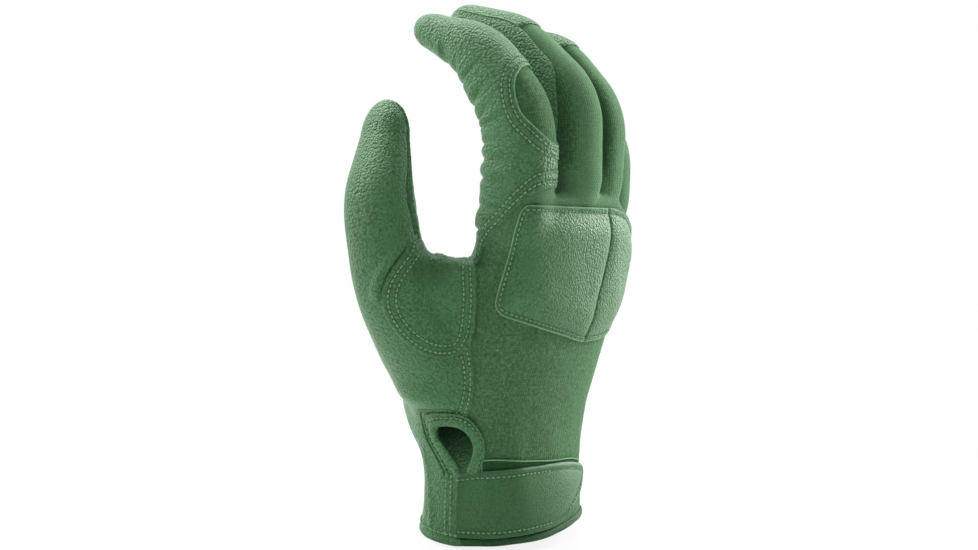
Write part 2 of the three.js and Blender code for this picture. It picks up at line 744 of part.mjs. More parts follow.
// Thumb
const thumbOuter = thumb.panel(1, THUMB_SEAM - 180 + SEAM_ANGLE, THUMB_SEAM - SEAM_ANGLE, 10, LEATHER);
const thumbInner = thumb.panel(1, THUMB_SEAM + SEAM_ANGLE, THUMB_SEAM + 180 - SEAM_ANGLE, 10, LEATHER);
thumb.bones[1].add(piece("thumb_outer", thumbOuter, COLOURS.leather));
thumb.bones[1].add(piece("thumb_inner", thumbInner, COLOURS.leather));
thumb.bones[2].add(piece("thumb_tip", thumb.tip(LEATHER), COLOURS.leather));
thumb.joints[1].add(piece("thumb_knuckle_crease", thumb.crease(1, LEATHER), COLOURS.leather));
thumb.joints[2].add(piece("thumb_tip_crease", thumb.crease(2, LEATHER), COLOURS.leather));
glove.add(thumb.group);

// Wrist strap, from its sewn edge beside the slit over the back of the wrist
const strap = new THREE.Group();
strap.name = "strap";
glove.add(strap);
const strapFrom = SLIT_ANGLE - SLIT_CLOSED + SEAM_ANGLE;
const strapRise = (angle) => STRAP_BASE * THREE.MathUtils.smoothstep(angle, strapFrom, LOOP_FROM - 2);
const strapIn = (z, angle) => strapRise(angle);
const strapOut = (z, angle) => strapRise(angle) + LEATHER;
const strapEnd = (z) => STRAP_END - STRAP_CORNER * ((STRAP_TOP - z) / (STRAP_TOP - STRAP_LOW)) ** 2;
const tipFrom = STRAP_TIP_FROM + SEAM_ANGLE / 2;
const bodyTo = STRAP_TIP_FROM - SEAM_ANGLE / 2;
const bodyPlate = handPlate(cuffRows, strapFrom, bodyTo, 18, strapIn, strapOut, { lift: plain });
strap.add(piece("strap_body", bodyPlate, COLOURS.leather, 0.6));
const tipRows = spread(STRAP_LOW, STRAP_TOP, 6);
const tipPlate = handPlate(tipRows, tipFrom, strapEnd, 5, strapIn, strapOut, { lift: plain });
strap.add(piece("strap_tip", tipPlate, COLOURS.leather, 0.6));
const hookRows = spread(STRAP_LOW + 2, STRAP_TOP - 2, 3);
const hookIn = LOOP + 2 * CLEARANCE;
const hookBody = handPlate(hookRows, HOOK_FROM, bodyTo, 6, hookIn, hookIn + HOOK, { lift: plain });
strap.add(piece("hook_patch_body", hookBody, COLOURS.trim, 0.98));
const hookEnd = (z) => strapEnd(z) - 4;
const hookTip = handPlate(spread(STRAP_LOW + 2, STRAP_TOP - 2, 4), tipFrom, hookEnd, 4, hookIn, hookIn + HOOK, { lift: plain });
strap.add(piece("hook_patch_tip", hookTip, COLOURS.trim, 0.98));

export default glove;
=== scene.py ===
"""Looks of a right-hand tactical work glove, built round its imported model.

The builders work in millimetres and hand metres to Blender. +Z runs to the fingertips, -Y is the back
of the hand, +Y the palm and -X the thumb side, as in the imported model.
"""

import logging
import math
from collections.abc import Sequence
from dataclasses import dataclass, field
from enum import Enum
from typing import ClassVar

import bpy
import numpy as np
from mathutils import Matrix, Vector
from mathutils.bvhtree import BVHTree

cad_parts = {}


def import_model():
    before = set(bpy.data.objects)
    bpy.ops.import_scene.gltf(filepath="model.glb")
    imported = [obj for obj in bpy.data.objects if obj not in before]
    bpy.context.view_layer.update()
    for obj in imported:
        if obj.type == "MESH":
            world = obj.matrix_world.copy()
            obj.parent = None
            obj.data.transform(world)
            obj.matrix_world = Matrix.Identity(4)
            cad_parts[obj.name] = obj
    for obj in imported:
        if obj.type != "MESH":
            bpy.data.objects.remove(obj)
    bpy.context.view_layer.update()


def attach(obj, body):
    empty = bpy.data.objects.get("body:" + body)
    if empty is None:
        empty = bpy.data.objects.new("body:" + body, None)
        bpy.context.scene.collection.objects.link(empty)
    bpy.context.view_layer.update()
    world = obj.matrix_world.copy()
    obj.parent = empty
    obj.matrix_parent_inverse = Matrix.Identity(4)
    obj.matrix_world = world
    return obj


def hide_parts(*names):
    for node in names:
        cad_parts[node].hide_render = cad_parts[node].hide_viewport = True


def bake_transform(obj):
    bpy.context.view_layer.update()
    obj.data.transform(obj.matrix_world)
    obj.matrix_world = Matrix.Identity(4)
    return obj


LOG = logging.getLogger("glove")
MM = 0.001
IMAGE_WIDTH = 978
SECTION_POWER = 2.4
VOXEL = 0.62
LEATHER_LIFT = 0.75
SHELL = 1.5
KNIT_SHELL = 1.1
CORNER = 3.6


def through(xs: Sequence[float], ys: Sequence[float], x: np.ndarray | float) -> np.ndarray:
    """Values of a smooth curve through points, never overshooting them.

    Args:
        xs: Rising places of the points.
        ys: Values at those places.
        x: Where the curve is read.
    Returns:
        One value for each x.
    """
    px, py = np.asarray(xs, float), np.asarray(ys, float)
    slope = np.diff(py) / np.diff(px)
    tangent = np.concatenate([slope[:1], np.zeros(len(px) - 2), slope[-1:]])
    product = slope[:-1] * slope[1:]
    total = slope[:-1] + slope[1:]
    tangent[1:-1] = np.where(product > 0, 2 * product / np.where(total == 0, 1, total), 0)
    x = np.clip(np.asarray(x, float), px[0], px[-1])
    k = np.clip(np.searchsorted(px, x, side="right") - 1, 0, len(px) - 2)
    h = px[k + 1] - px[k]
    t = (x - px[k]) / h
    return (
        (1 + 2 * t) * (1 - t) ** 2 * py[k]
        + t * (1 - t) ** 2 * h * tangent[k]
        + t * t * (3 - 2 * t) * py[k + 1]
        + t * t * (t - 1) * h * tangent[k + 1]
    )


def ease(x: np.ndarray, low: float, high: float) -> np.ndarray:
    """Smooth step from 0 at low to 1 at high."""
    t = np.clip((np.asarray(x, float) - low) / (high - low), 0, 1)
    return t * t * (3 - 2 * t)


def bell(x: np.ndarray, centre: float, width: float) -> np.ndarray:
    """Soft bump of height 1 at the centre."""
    return np.exp(-(((np.asarray(x, float) - centre) / width) ** 2))


def unit(v: np.ndarray) -> np.ndarray:
    """Vectors at length 1, along the last axis."""
    v = np.asarray(v, float)
    return v / np.maximum(np.linalg.norm(v, axis=-1, keepdims=True), 1e-12)


def cosine(degrees: np.ndarray) -> np.ndarray:
    """Cosine of angles in degrees."""
    return np.cos(np.radians(degrees))


def turned(distance: np.ndarray, width: float) -> np.ndarray:
    """Share of the full height at a distance from an edge that turns down in a quarter round."""
    return np.sqrt(1 - (1 - np.clip(distance / width, 0, 1)) ** 2)


def corner_distance(a: np.ndarray, b: np.ndarray) -> np.ndarray:
    """Distance from two edges that meet in a round corner."""
    both = (a < CORNER) & (b < CORNER)
    return np.where(both, CORNER - np.hypot(CORNER - a, CORNER - b), np.minimum(a, b))


def signed_power(v: np.ndarray, power: float) -> np.ndarray:
    """Power that keeps the sign."""
    return np.sign(v) * np.abs(v) ** power


def ripple(place: np.ndarray, seed: int, waves: int = 5) -> np.ndarray:
    """Smooth irregular wave of about unit height along one coordinate."""
    rng = np.random.default_rng(seed)
    total = np.zeros_like(np.asarray(place, float))
    for k in range(waves):
        pace, vary, phase = 0.6 + k * 0.45, rng.uniform(0.8, 1.2), rng.uniform(0, 6.3)
        total += np.sin(place * pace * vary + phase) / (1 + 0.5 * k)
    return total / 1.6


# Forms of the hand and its digits


@dataclass(frozen=True)
class DigitSize:
    """Sizes of a finger or the thumb: bones from joint to joint, sections at root, joints and tip."""

    name: str
    root: tuple[float, float, float]
    aim: tuple[float, float, float]
    side: tuple[float, float, float]
    bones: tuple[float, float, float]
    rest: tuple[float, float, float]
    flex: tuple[float, float, float]
    widths: tuple[float, ...]
    depths: tuple[float, ...]
    dome: float = 8.0
    belly: tuple[float, float, float] | None = None


FINGERS = (
    DigitSize("index", (-33.6, -16.1, 127.5), (-0.05, -0.06, 1), (1, 0, 0), (29.1, 29.5, 28.6),
              (5.4, 38, 33.2), (6.5, 9.5, 7.5), (20.6, 21.2, 19.4, 15.4), (26, 25, 18.6, 12.2), 9.5),
    DigitSize("middle", (-10.4, -21.6, 137.5), (-0.012, -0.08, 1), (1, 0, 0), (26.9, 32, 30.6),
              (8.6, 45.3, 27.5), (6.5, 9.5, 7.5), (20.4, 20.6, 19.2, 16.3), (25.6, 23.2, 18.8, 15.2), 9),
    DigitSize("ring", (11.05, -19.4, 136), (0.02, -0.1, 1), (1, 0, 0), (25.2, 27.3, 29.5),
              (7.3, 43.5, 31.5), (6.5, 9, 7), (20, 19.8, 18.2, 15.5), (22.9, 21, 18.9, 14.5), 9),
    DigitSize("little", (32.1, -12.8, 129), (0.06, -0.11, 1), (1, 0, 0), (20, 20, 24), (9.2, 40, 30),
              (6, 7, 6), (18.6, 18, 16.8, 14.5), (20.8, 18.5, 17, 13.5), 8),
)
THUMB = DigitSize("thumb", (-18.8, 8.4, 42.8), (-0.578, 0.178, 0.8), (0.176, -1, 0), (63.0, 30.2, 38.8),
                  (0.5, 27.8, 24.6), (6, 10, 9), (27.5, 25.5, 22.6, 15.6), (25, 25.3, 22.6, 14.6), 14.5,
                  (36, 30, 30))


class Digit:
    """A finger or thumb as a bent centre line with rounded sections."""

    sampled_from = -24.0
    sample_step = 1.5
    lowest = -40.0
    chunk = 40000
    dome_turns = (15, 30, 44, 57, 68, 77, 84, 88)
    tuck = 0.35
    tuck_over = 20.0

    def __init__(self, size: DigitSize) -> None:
        """Sets up the bone frames and a sampled centre line.

        Args:
            size: Sizes of the digit.
        """
        self.size = size
        self.name = size.name
        self.length = sum(size.bones)
        self.starts = (0.0, size.bones[0], size.bones[0] + size.bones[1])
        z = unit(size.aim)
        side = np.asarray(size.side, float)
        x = unit(side - (side @ z) * z)
        holder = np.eye(4)
        holder[:3, :3] = np.stack([x, np.cross(z, x), z], 1)
        holder[:3, 3] = size.root
        self.joints, self.bones = [], []
        for i in range(3):
            step = np.eye(4)
            step[2, 3] = size.bones[i - 1] if i else 0
            joint = holder @ step
            a = -math.radians(size.rest[i])
            turn = np.eye(4)
            turn[1:3, 1:3] = [[math.cos(a), -math.sin(a)], [math.sin(a), math.cos(a)]]
            holder = joint @ turn
            self.joints.append(joint)
            self.bones.append(holder)
        corners = [0, self.starts[1], self.starts[2], self.length - size.dome]
        self.stations = corners
        self.half_w, self.half_d = [w / 2 for w in size.widths], [d / 2 for d in size.depths]
        if size.belly:
            at, wide, deep = size.belly
            self.stations = [0, at, *corners[1:]]
            self.half_w = [self.half_w[0], wide / 2, *self.half_w[1:]]
            self.half_d = [self.half_d[0], deep / 2, *self.half_d[1:]]
        self.sample = np.arange(self.sampled_from, self.length + 0.01, self.sample_step)
        self.sample_centre = self.axes(self.sample)[0]

    def axes(self, s: np.ndarray) -> tuple[np.ndarray, np.ndarray, np.ndarray, np.ndarray]:
        """Centre line and section axes.

        Args:
            s: Lengths along the digit from its first joint.
        Returns:
            Centres, across axes, back-to-palm axes and tangents, one row for each length.
        """
        s = np.asarray(s, float)
        centre, across, deep = (np.zeros((len(s), 3)) for _ in range(3))

        def put(mask: np.ndarray, frame: np.ndarray, y: np.ndarray, z: np.ndarray,
                turn: np.ndarray) -> None:
            """Writes the axes of the masked lengths from local values."""
            zero = np.zeros_like(y)
            centre[mask] = np.stack([zero, y, z], 1) @ frame[:3, :3].T + frame[:3, 3]
            across[mask] = frame[:3, 0]
            deep[mask] = np.stack([zero, np.cos(turn), -np.sin(turn)], 1) @ frame[:3, :3].T

        for i, (start, reach) in enumerate(zip(self.starts, self.size.flex)):
            bend = math.radians(self.size.rest[i])
            low = -1e9 if i == 0 else self.starts[i - 1]
            if i == 0:
                mask = s <= start - reach
                put(mask, self.joints[0], 0 * s[mask], s[mask], 0 * s[mask])
            mask = (s > max(low, start - reach)) & (s < start + reach)
            if reach > 0 and mask.any():
                turn = bend * (s[mask] - start + reach) / (2 * reach)
                radius = reach / math.tan(bend / 2)
                put(mask, self.joints[i], radius * (1 - np.cos(turn)), -reach + radius * np.sin(turn), turn)
            stop = self.starts[i + 1] - self.size.flex[i + 1] if i < 2 else 1e9
            mask = (s >= start + reach) & (s <= stop)
            put(mask, self.bones[i], 0 * s[mask], s[mask] - start, 0 * s[mask])
        return centre, across, deep, np.cross(across, deep)

    def halves(self, s: np.ndarray) -> tuple[np.ndarray, np.ndarray]:
        """Half width and half depth of the section at each length, drawn in over the tip."""
        foot = self.length - self.size.dome
        over = np.clip((np.asarray(s, float) - foot) / self.size.dome, 0, 0.9999)
        shrink = np.sqrt(1 - over**2)
        wide, deep = (through(self.stations, half, s) * shrink for half in (self.half_w, self.half_d))
        return wide, deep

    def point(self, s: np.ndarray, angle: np.ndarray, offset: float = 0.0) -> np.ndarray:
        """Points of the outside: angle 0 is the back, 90 the little-finger side, in degrees."""
        s, angle = np.broadcast_arrays(np.asarray(s, float), np.radians(angle))
        flat_s, flat_a = s.ravel(), angle.ravel()
        centre, across, deep, _ = self.axes(flat_s)
        a, b = self.halves(flat_s)
        x = (a + offset) * signed_power(np.sin(flat_a), 2 / SECTION_POWER)
        y = -(b + offset) * signed_power(np.cos(flat_a), 2 / SECTION_POWER)
        return (centre + x[:, None] * across + y[:, None] * deep).reshape(*s.shape, 3)

    def locate(self, points: np.ndarray) -> dict[str, np.ndarray]:
        """Digit coordinates of points.

        Args:
            points: Places in the glove's frame.
        Returns:
            Length s, angle in degrees, share of the section rho, and the section offsets x and y.
        """
        s = np.empty(len(points))
        for k in range(0, len(points), self.chunk):
            part = points[k:k + self.chunk].astype(np.float32)
            gap = ((part**2).sum(1)[:, None] - 2 * part @ self.sample_centre.T.astype(np.float32)
                   + (self.sample_centre.astype(np.float32) ** 2).sum(1)[None])
            s[k:k + self.chunk] = self.sample[gap.argmin(1)]
        for _ in range(3):
            centre, across, deep, along = self.axes(s)
            s = np.clip(s + ((points - centre) * along).sum(1), self.lowest, self.length)
        centre, across, deep, along = self.axes(s)
        x, y = ((points - centre) * across).sum(1), ((points - centre) * deep).sum(1)
        a, b = self.halves(np.minimum(s, self.length - self.size.dome))
        p, q = np.abs(x / a) ** (SECTION_POWER / 2), np.abs(y / b) ** (SECTION_POWER / 2)
        angle = np.degrees(np.arctan2(np.sign(x) * p, -np.sign(y) * q))
        past = np.linalg.norm(points - centre, axis=1) * (s < self.lowest + 1)
        rho = (p**2 + q**2) ** (1 / SECTION_POWER) + past
        return {"s": s, "angle": angle, "rho": rho, "x": x, "y": y}

    def rings(self, start: float, steps: int, around: int) -> np.ndarray:
        """Rings of points from a length to the tip, for a closed solid."""
        foot = self.length - self.size.dome
        turns = np.radians(self.dome_turns)
        s = np.concatenate([np.linspace(start, foot, steps), foot + self.size.dome * np.sin(turns)])
        made = self.point(s[:, None], np.linspace(0, 360, around, endpoint=False)[None])
        tuck = self.tuck * (1 - ease(s, start, start + self.tuck_over))[:, None, None]
        return made + (made.mean(1, keepdims=True) - made) * tuck


class HandForm:
    """The hand from the hem to the finger roots, as a stack of rounded sections."""

    z = [0, 10, 20, 29, 38, 50, 60, 72, 102, 129]
    centre_x = [0, 0, 0, 0, -0.4, -1, -1.5, -2, -0.5, -1]
    centre_y = [1.2, 1.2, 1.2, 1, 0.7, -0.2, -1.4, -3.2, -10, -17.5]
    half = [34.5, 34.5, 34.4, 34.2, 34.4, 35, 36.3, 38, 41.5, 41.5]
    back = [27.2, 26.8, 25.4, 23.6, 22.8, 23.2, 24.2, 24.6, 19.5, 13.8]
    palm = [24.6, 22.8, 23.8, 26.8, 31.2, 34.2, 32.8, 28.5, 18, 12.6]
    thenar = [0, 0, 0, 0.8, 5.0, 7.4, 2.6, 0, 0, 0]
    thenar_angle = -145.0
    root_x = [-44, -33, -11, 11, 32, 44]
    root_z = [125, 128.5, 131, 129.5, 122.5, 120]
    straight_to = 90.0
    below_hem = -3.0
    top = 129.0
    crown = ((0.95, 0.9), (0.86, 1.5), (0.7, 1.9), (0.4, 2.1))

    def depth(self, z: np.ndarray, angle: np.ndarray) -> np.ndarray:
        """Depth to the back or the palm, fuller at the ball of the thumb; angles in radians."""
        swell = ease(np.cos(angle - math.radians(self.thenar_angle)), 0, 0.85)
        palm = through(self.z, self.palm, z) + swell * through(self.z, self.thenar, z)
        return np.where(np.cos(angle) > 0, through(self.z, self.back, z), palm)

    def point(self, z: np.ndarray, angle: np.ndarray, offset: np.ndarray | float = 0.0) -> np.ndarray:
        """Points of the outside: angle 0 is the back, 90 the little-finger side, in degrees."""
        z, angle, offset = np.broadcast_arrays(np.asarray(z, float), np.radians(angle),
                                               np.asarray(offset, float))
        across, deep = (signed_power(f(angle), 2 / SECTION_POWER) for f in (np.sin, np.cos))
        depth = self.depth(z, angle)
        return np.stack([
            through(self.z, self.centre_x, z) + (through(self.z, self.half, z) + offset) * across,
            through(self.z, self.centre_y, z) - (depth + offset) * deep,
            z,
        ], -1)

    def locate(self, points: np.ndarray) -> dict[str, np.ndarray]:
        """Hand coordinates of points: height z, angle in degrees and share of the section rho."""
        z = points[:, 2]
        dx = (points[:, 0] - through(self.z, self.centre_x, z)) / through(self.z, self.half, z)
        dy = points[:, 1] - through(self.z, self.centre_y, z)
        p, angle = np.abs(dx) ** (SECTION_POWER / 2), np.arctan2(dx, -dy / 25)
        for _ in range(3):
            q = np.abs(dy / self.depth(z, angle)) ** (SECTION_POWER / 2)
            angle = np.arctan2(np.sign(dx) * p, -np.sign(dy) * q)
        return {"z": z, "angle": np.degrees(angle), "rho": (p**2 + q**2) ** (1 / SECTION_POWER)}

    def normal(self, z: np.ndarray, angle: np.ndarray) -> np.ndarray:
        """Outward directions on the hand, from neighbouring points."""
        around = self.point(z, angle + 0.5) - self.point(z, angle - 0.5)
        up = self.point(z + 0.5, angle) - self.point(z - 0.5, angle)
        return unit(np.cross(around, up))

    def rings(self, around: int) -> np.ndarray:
        """Rings from below the hem to a low dome under the finger roots."""
        angles = np.linspace(0, 360, around, endpoint=False)
        top, foot = through(self.root_x, self.root_z, self.point(self.top, angles)[:, 0]), self.straight_to
        rows = [self.point(z + 0 * angles, angles) for z in np.linspace(self.below_hem, foot, 50)]
        rows += [self.point(foot + (top - foot) * t, angles) for t in np.linspace(0, 1, 20)[1:]]
        crown = rows[-1]
        middle = crown.mean(0)
        for shrink, rise in self.crown:
            ring = crown + (middle - crown) * (1 - shrink) * np.array([1, 1, 0])
            rows.append(ring + np.array([0, 0, rise]))
        return np.array(rows)


# Meshes with values on their points


@dataclass
class Surface:
    """Triangles with values at their points, kept in millimetres."""

    points: np.ndarray
    faces: np.ndarray
    fields: dict[str, np.ndarray] = field(default_factory=dict)
    clip_floor: ClassVar[float] = 0.02
    line_floor: ClassVar[float] = 1e-4

    def normals(self) -> np.ndarray:
        """Outward point normals, weighted by area."""
        p = self.points
        face = np.cross(p[self.faces[:, 1]] - p[self.faces[:, 0]],
                        p[self.faces[:, 2]] - p[self.faces[:, 0]])
        total = np.zeros_like(p)
        for k in range(3):
            for axis in range(3):
                total[:, axis] += np.bincount(self.faces[:, k], face[:, axis], len(p))
        return unit(total)

    def kept(self, mask: np.ndarray) -> "Surface":
        """The masked faces with their own points."""
        faces = self.faces[mask]
        used = np.zeros(len(self.points), bool)
        used[faces] = True
        new = np.cumsum(used) - 1
        return Surface(self.points[used], new[faces], {k: v[used] for k, v in self.fields.items()})

    def clip(self, value: np.ndarray) -> "Surface":
        """The part where a value is positive, cut along its zero line.

        Args:
            value: One number for each point.
        Returns:
            The part, with its fields carried over.
        """
        value = np.where(np.abs(value) < self.clip_floor, self.clip_floor, value)
        inside = value > 0
        count = inside[self.faces].sum(1)
        whole = self.faces[count == 3]
        mixed = self.faces[(count == 1) | (count == 2)]
        lone_in = inside[mixed].sum(1) == 1
        first = np.where(lone_in, np.argmax(inside[mixed], 1), np.argmin(inside[mixed], 1))
        rows = np.arange(len(mixed))
        a, b, c = (mixed[rows, (first + k) % 3] for k in range(3))
        pairs = np.concatenate([np.sort(np.stack([a, b], 1), 1), np.sort(np.stack([a, c], 1), 1)])
        unique, where = np.unique(pairs, axis=0, return_inverse=True)
        where = where.ravel()
        t = value[unique[:, 0]] / (value[unique[:, 0]] - value[unique[:, 1]])

        def mix(v: np.ndarray) -> np.ndarray:
            """Values with those of the new points added."""
            share = t.reshape(-1, *([1] * (v.ndim - 1)))
            return np.concatenate([v, v[unique[:, 0]] * (1 - share) + v[unique[:, 1]] * share])

        base = len(self.points)
        ab, ac = base + where[:len(mixed)], base + where[len(mixed):]
        corner = np.stack([a, ab, ac], 1)[lone_in]
        two = ~lone_in
        quads = np.concatenate([np.stack([ab, b, c], 1)[two], np.stack([ab, c, ac], 1)[two]])
        made = Surface(mix(self.points), np.concatenate([whole, corner, quads]),
                       {k: mix(v) for k, v in self.fields.items()})
        return made.kept(np.ones(len(made.faces), bool))

    def lines(self, value: np.ndarray, shown: np.ndarray | None = None, least: int = 3) -> list[np.ndarray]:
        """Zero lines of a value, as chains of points.

        Args:
            value: One number for each point.
            shown: Optional mask of the points near which a line is kept.
            least: Chains of this many points or fewer are left out.
        Returns:
            Arrays of six columns: place and outward direction.
        """
        value = np.where(np.abs(value) < self.line_floor, self.line_floor, value)
        inside = value > 0
        count = inside[self.faces].sum(1)
        cut = (count == 1) | (count == 2)
        if shown is not None:
            cut &= shown[self.faces].all(1)
        normals = self.normals()
        place: dict[tuple[int, int], np.ndarray] = {}
        links: dict[tuple[int, int], list[tuple[int, int]]] = {}
        for tri in self.faces[cut]:
            ends = []
            for u, v in ((tri[0], tri[1]), (tri[1], tri[2]), (tri[2], tri[0])):
                if inside[u] != inside[v]:
                    key = (int(min(u, v)), int(max(u, v)))
                    t = value[key[0]] / (value[key[0]] - value[key[1]])
                    place[key] = np.concatenate([
                        self.points[key[0]] * (1 - t) + self.points[key[1]] * t,
                        normals[key[0]] * (1 - t) + normals[key[1]] * t])
                    ends.append(key)
            links.setdefault(ends[0], []).append(ends[1])
            links.setdefault(ends[1], []).append(ends[0])
        chains, seen = [], set()
        for start in sorted(links, key=lambda k: (len(links[k]) != 1, k)):
            if start in seen:
                continue
            chain, here = [], start
            while here is not None:
                seen.add(here)
                chain.append(place[here])
                here = next((n for n in links[here] if n not in seen), None)
            if len(chain) > 3 and len(links[start]) == 2:
                chain.append(chain[0])
            if len(chain) > least:
                chains.append(np.array(chain))
        return chains

    def shell(self, thickness: float) -> "Surface":
        """A closed sheet of that thickness, grown inwards, or down to the places in its field below."""
        n, normals = len(self.points), self.fields["normal"]
        edges = np.concatenate([self.faces[:, [0, 1]], self.faces[:, [1, 2]], self.faces[:, [2, 0]]])
        key = np.sort(edges, 1)
        key = key[:, 0].astype(np.int64) * n + key[:, 1]
        _, first, counts = np.unique(key, return_index=True, return_counts=True)
        rim = edges[first[counts == 1]]
        u, v = rim[:, 0], rim[:, 1]
        walls = np.concatenate([np.stack([v, u, u + n], 1), np.stack([v, u + n, v + n], 1)])
        fields = {k: np.concatenate([f, f]) for k, f in self.fields.items()}
        fields["normal"] = np.concatenate([normals, -normals])
        below = self.fields.get("below", self.points - normals * thickness)
        return Surface(np.concatenate([self.points, below]),
                       np.concatenate([self.faces, self.faces[:, ::-1] + n, walls]), fields)


def mesh_object(name: str, points: np.ndarray, faces: np.ndarray) -> bpy.types.Object:
    """A new mesh object from millimetre points and faces of one size.

    Args:
        name: Object name.
        points: Places in millimetres.
        faces: Corner numbers, one row for each face.
    Returns:
        The object, in the scene and deselected.
    """
    mesh = bpy.data.meshes.new(name)
    size = faces.shape[1]
    mesh.vertices.add(len(points))
    mesh.vertices.foreach_set("co", (points * MM).astype(np.float32).ravel())
    mesh.loops.add(faces.size)
    mesh.loops.foreach_set("vertex_index", faces.astype(np.int32).ravel())
    mesh.polygons.add(len(faces))
    mesh.polygons.foreach_set("loop_start", np.arange(0, faces.size, size, dtype=np.int32))
    mesh.update(calc_edges=True)
    mesh.validate()
    made = bpy.data.objects.new(name, mesh)
    bpy.context.scene.collection.objects.link(made)
    return made


def mesh_points(mesh: bpy.types.Mesh) -> np.ndarray:
    """Points of a mesh, in millimetres."""
    points = np.zeros(len(mesh.vertices) * 3, np.float32)
    mesh.vertices.foreach_get("co", points)
    return points.reshape(-1, 3).astype(float) / MM


def only(*objects: bpy.types.Object) -> None:
    """Selects these objects alone, the first of them active, or none."""
    bpy.ops.object.select_all(action="DESELECT")
    for o in objects:
        o.select_set(True)
    bpy.context.view_layer.objects.active = objects[0] if objects else None


def solid_from_rings(name: str, rings: np.ndarray) -> bpy.types.Object:
    """A closed solid from a stack of rings, its ends filled."""
    rows, cols = rings.shape[:2]
    i, j = np.meshgrid(np.arange(rows - 1), np.arange(cols), indexing="ij")
    near, far = i * cols + j, i * cols + (j + 1) % cols
    quads = np.stack([near, far, far + cols, near + cols], -1).reshape(-1, 4)
    made = mesh_object(name, rings.reshape(-1, 3), quads)
    only(made)
    bpy.ops.object.mode_set(mode="EDIT")
    bpy.ops.mesh.select_mode(type="EDGE")
    bpy.ops.mesh.select_all(action="DESELECT")
    bpy.ops.mesh.select_non_manifold()
    bpy.ops.mesh.fill_holes(sides=0)
    bpy.ops.mesh.select_all(action="SELECT")
    bpy.ops.mesh.normals_make_consistent(inside=False)
    bpy.ops.object.mode_set(mode="OBJECT")
    return made


class GloveBody:
    """The filled glove: hand, fingers, thumb and the web between thumb and index as one smooth skin."""

    hand_sides = 132
    finger_rings = (-20, 70, 60)
    thumb_rings = (-6, 84, 72)
    web_thumb_angle = 98
    web_hand_angle = -86
    web_inset = -4
    web_half = 3.4
    web_sag = 0.10
    even_rounds = 10
    root_rounds = 60
    web_rounds = 220
    last_rounds = 4
    soft_levels = 12

    def __init__(self) -> None:
        """Sets up the forms."""
        self.hand = HandForm()
        self.fingers = [Digit(f) for f in FINGERS]
        self.thumb = Digit(THUMB)
        self.digits = [*self.fingers, self.thumb]

    def web_rings(self) -> np.ndarray:
        """Rings of the soft web that joins thumb and index, low and sagging in its middle."""
        t = np.linspace(0, 1, 15)
        rows = []
        for s in np.linspace(0, 1, 22):
            share = s - self.web_sag * s * 4 * t * (1 - t)
            a = self.thumb.point(42 + 33 * share, self.web_thumb_angle + 0 * share, self.web_inset)
            b = self.hand.point(66 + 41.5 * share, self.web_hand_angle + 0 * share, self.web_inset)
            line = a + (b - a) * t[:, None]
            low, high = (self.thumb.point(k, self.web_thumb_angle, 0) for k in (50, 60))
            out = self.web_half * unit(np.cross(unit(high - low), b[0] - a[-1]))
            rows.append(np.concatenate([line + out, (line - out)[::-1]]))
        return np.array(rows)

    @staticmethod
    def soften(made: bpy.types.Object, weight: np.ndarray | None, rounds: int) -> None:
        """Smooths a mesh, all over or by a weight for each point."""
        smooth = made.modifiers.new("smooth", "SMOOTH")
        smooth.factor, smooth.iterations = 0.5, rounds
        if weight is not None:
            group = made.vertex_groups.new(name="soft")
            most = GloveBody.soft_levels
            level = np.round(weight * most).astype(int)
            for k in range(1, most + 1):
                group.add(np.nonzero(level == k)[0].tolist(), k / most, "REPLACE")
            smooth.vertex_group = group.name
        only(made)
        bpy.ops.object.modifier_apply(modifier=smooth.name)
        made.vertex_groups.clear()

    def union(self) -> Surface:
        """The outer skin of all forms together, remeshed evenly and smoothed."""
        solids = [solid_from_rings("hand_form", self.hand.rings(self.hand_sides))]
        solids += [solid_from_rings(f"{d.name}_form", d.rings(*self.finger_rings)) for d in self.fingers]
        solids.append(solid_from_rings("thumb_form", self.thumb.rings(*self.thumb_rings)))
        solids.append(solid_from_rings("web_form", self.web_rings()))
        only(*solids)
        bpy.ops.object.join()
        made = bpy.context.object
        made.data.remesh_voxel_size = VOXEL * MM
        made.data.remesh_voxel_adaptivity = 0
        bpy.ops.object.voxel_remesh()
        self.soften(made, None, self.even_rounds)
        points = mesh_points(made.data)
        roots = np.max([bell(f["s"], -6, 11) * ease(-f["rho"], -1.9, -1.5)
                        for f in (d.locate(points) for d in self.fingers)], axis=0)
        base = self.thumb.locate(points)
        near = ease(-base["rho"], -1.9, -1.4) * (points[:, 2] < 122)
        thumb_root = near * (1 - ease(base["s"], 40, 62)) * ease(base["s"], -16, 6)
        web = near * bell(base["s"], 66, 20) * ease(base["x"], 2, 10)
        self.soften(made, roots, self.root_rounds)
        self.soften(made, np.maximum(thumb_root, web), self.web_rounds)
        self.soften(made, None, self.last_rounds)
        mesh = made.data
        mesh.calc_loop_triangles()
        points = mesh_points(mesh)
        faces = np.zeros(len(mesh.loop_triangles) * 3, np.int32)
        mesh.loop_triangles.foreach_get("vertices", faces)
        bpy.data.objects.remove(made)
        return Surface(points, faces.reshape(-1, 3).astype(np.int64))


# Zones of the skin that move together


@dataclass(frozen=True)
class Zone:
    """A stretch of the glove that rides on a body, or lies across a joint from one body to the next."""

    name: str
    body: str
    onto: str | None = None
    start: tuple[float, float, float] = (0, 0, 0)
    end: tuple[float, float, float] = (0, 0, 1)

    def carry(self, piece: bpy.types.Object) -> None:
        """Ties a piece to the zone's body; a piece of a zone between two bodies only has its transform
        baked.
        """
        if self.onto is None:
            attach(piece, self.body)
        else:
            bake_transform(piece)


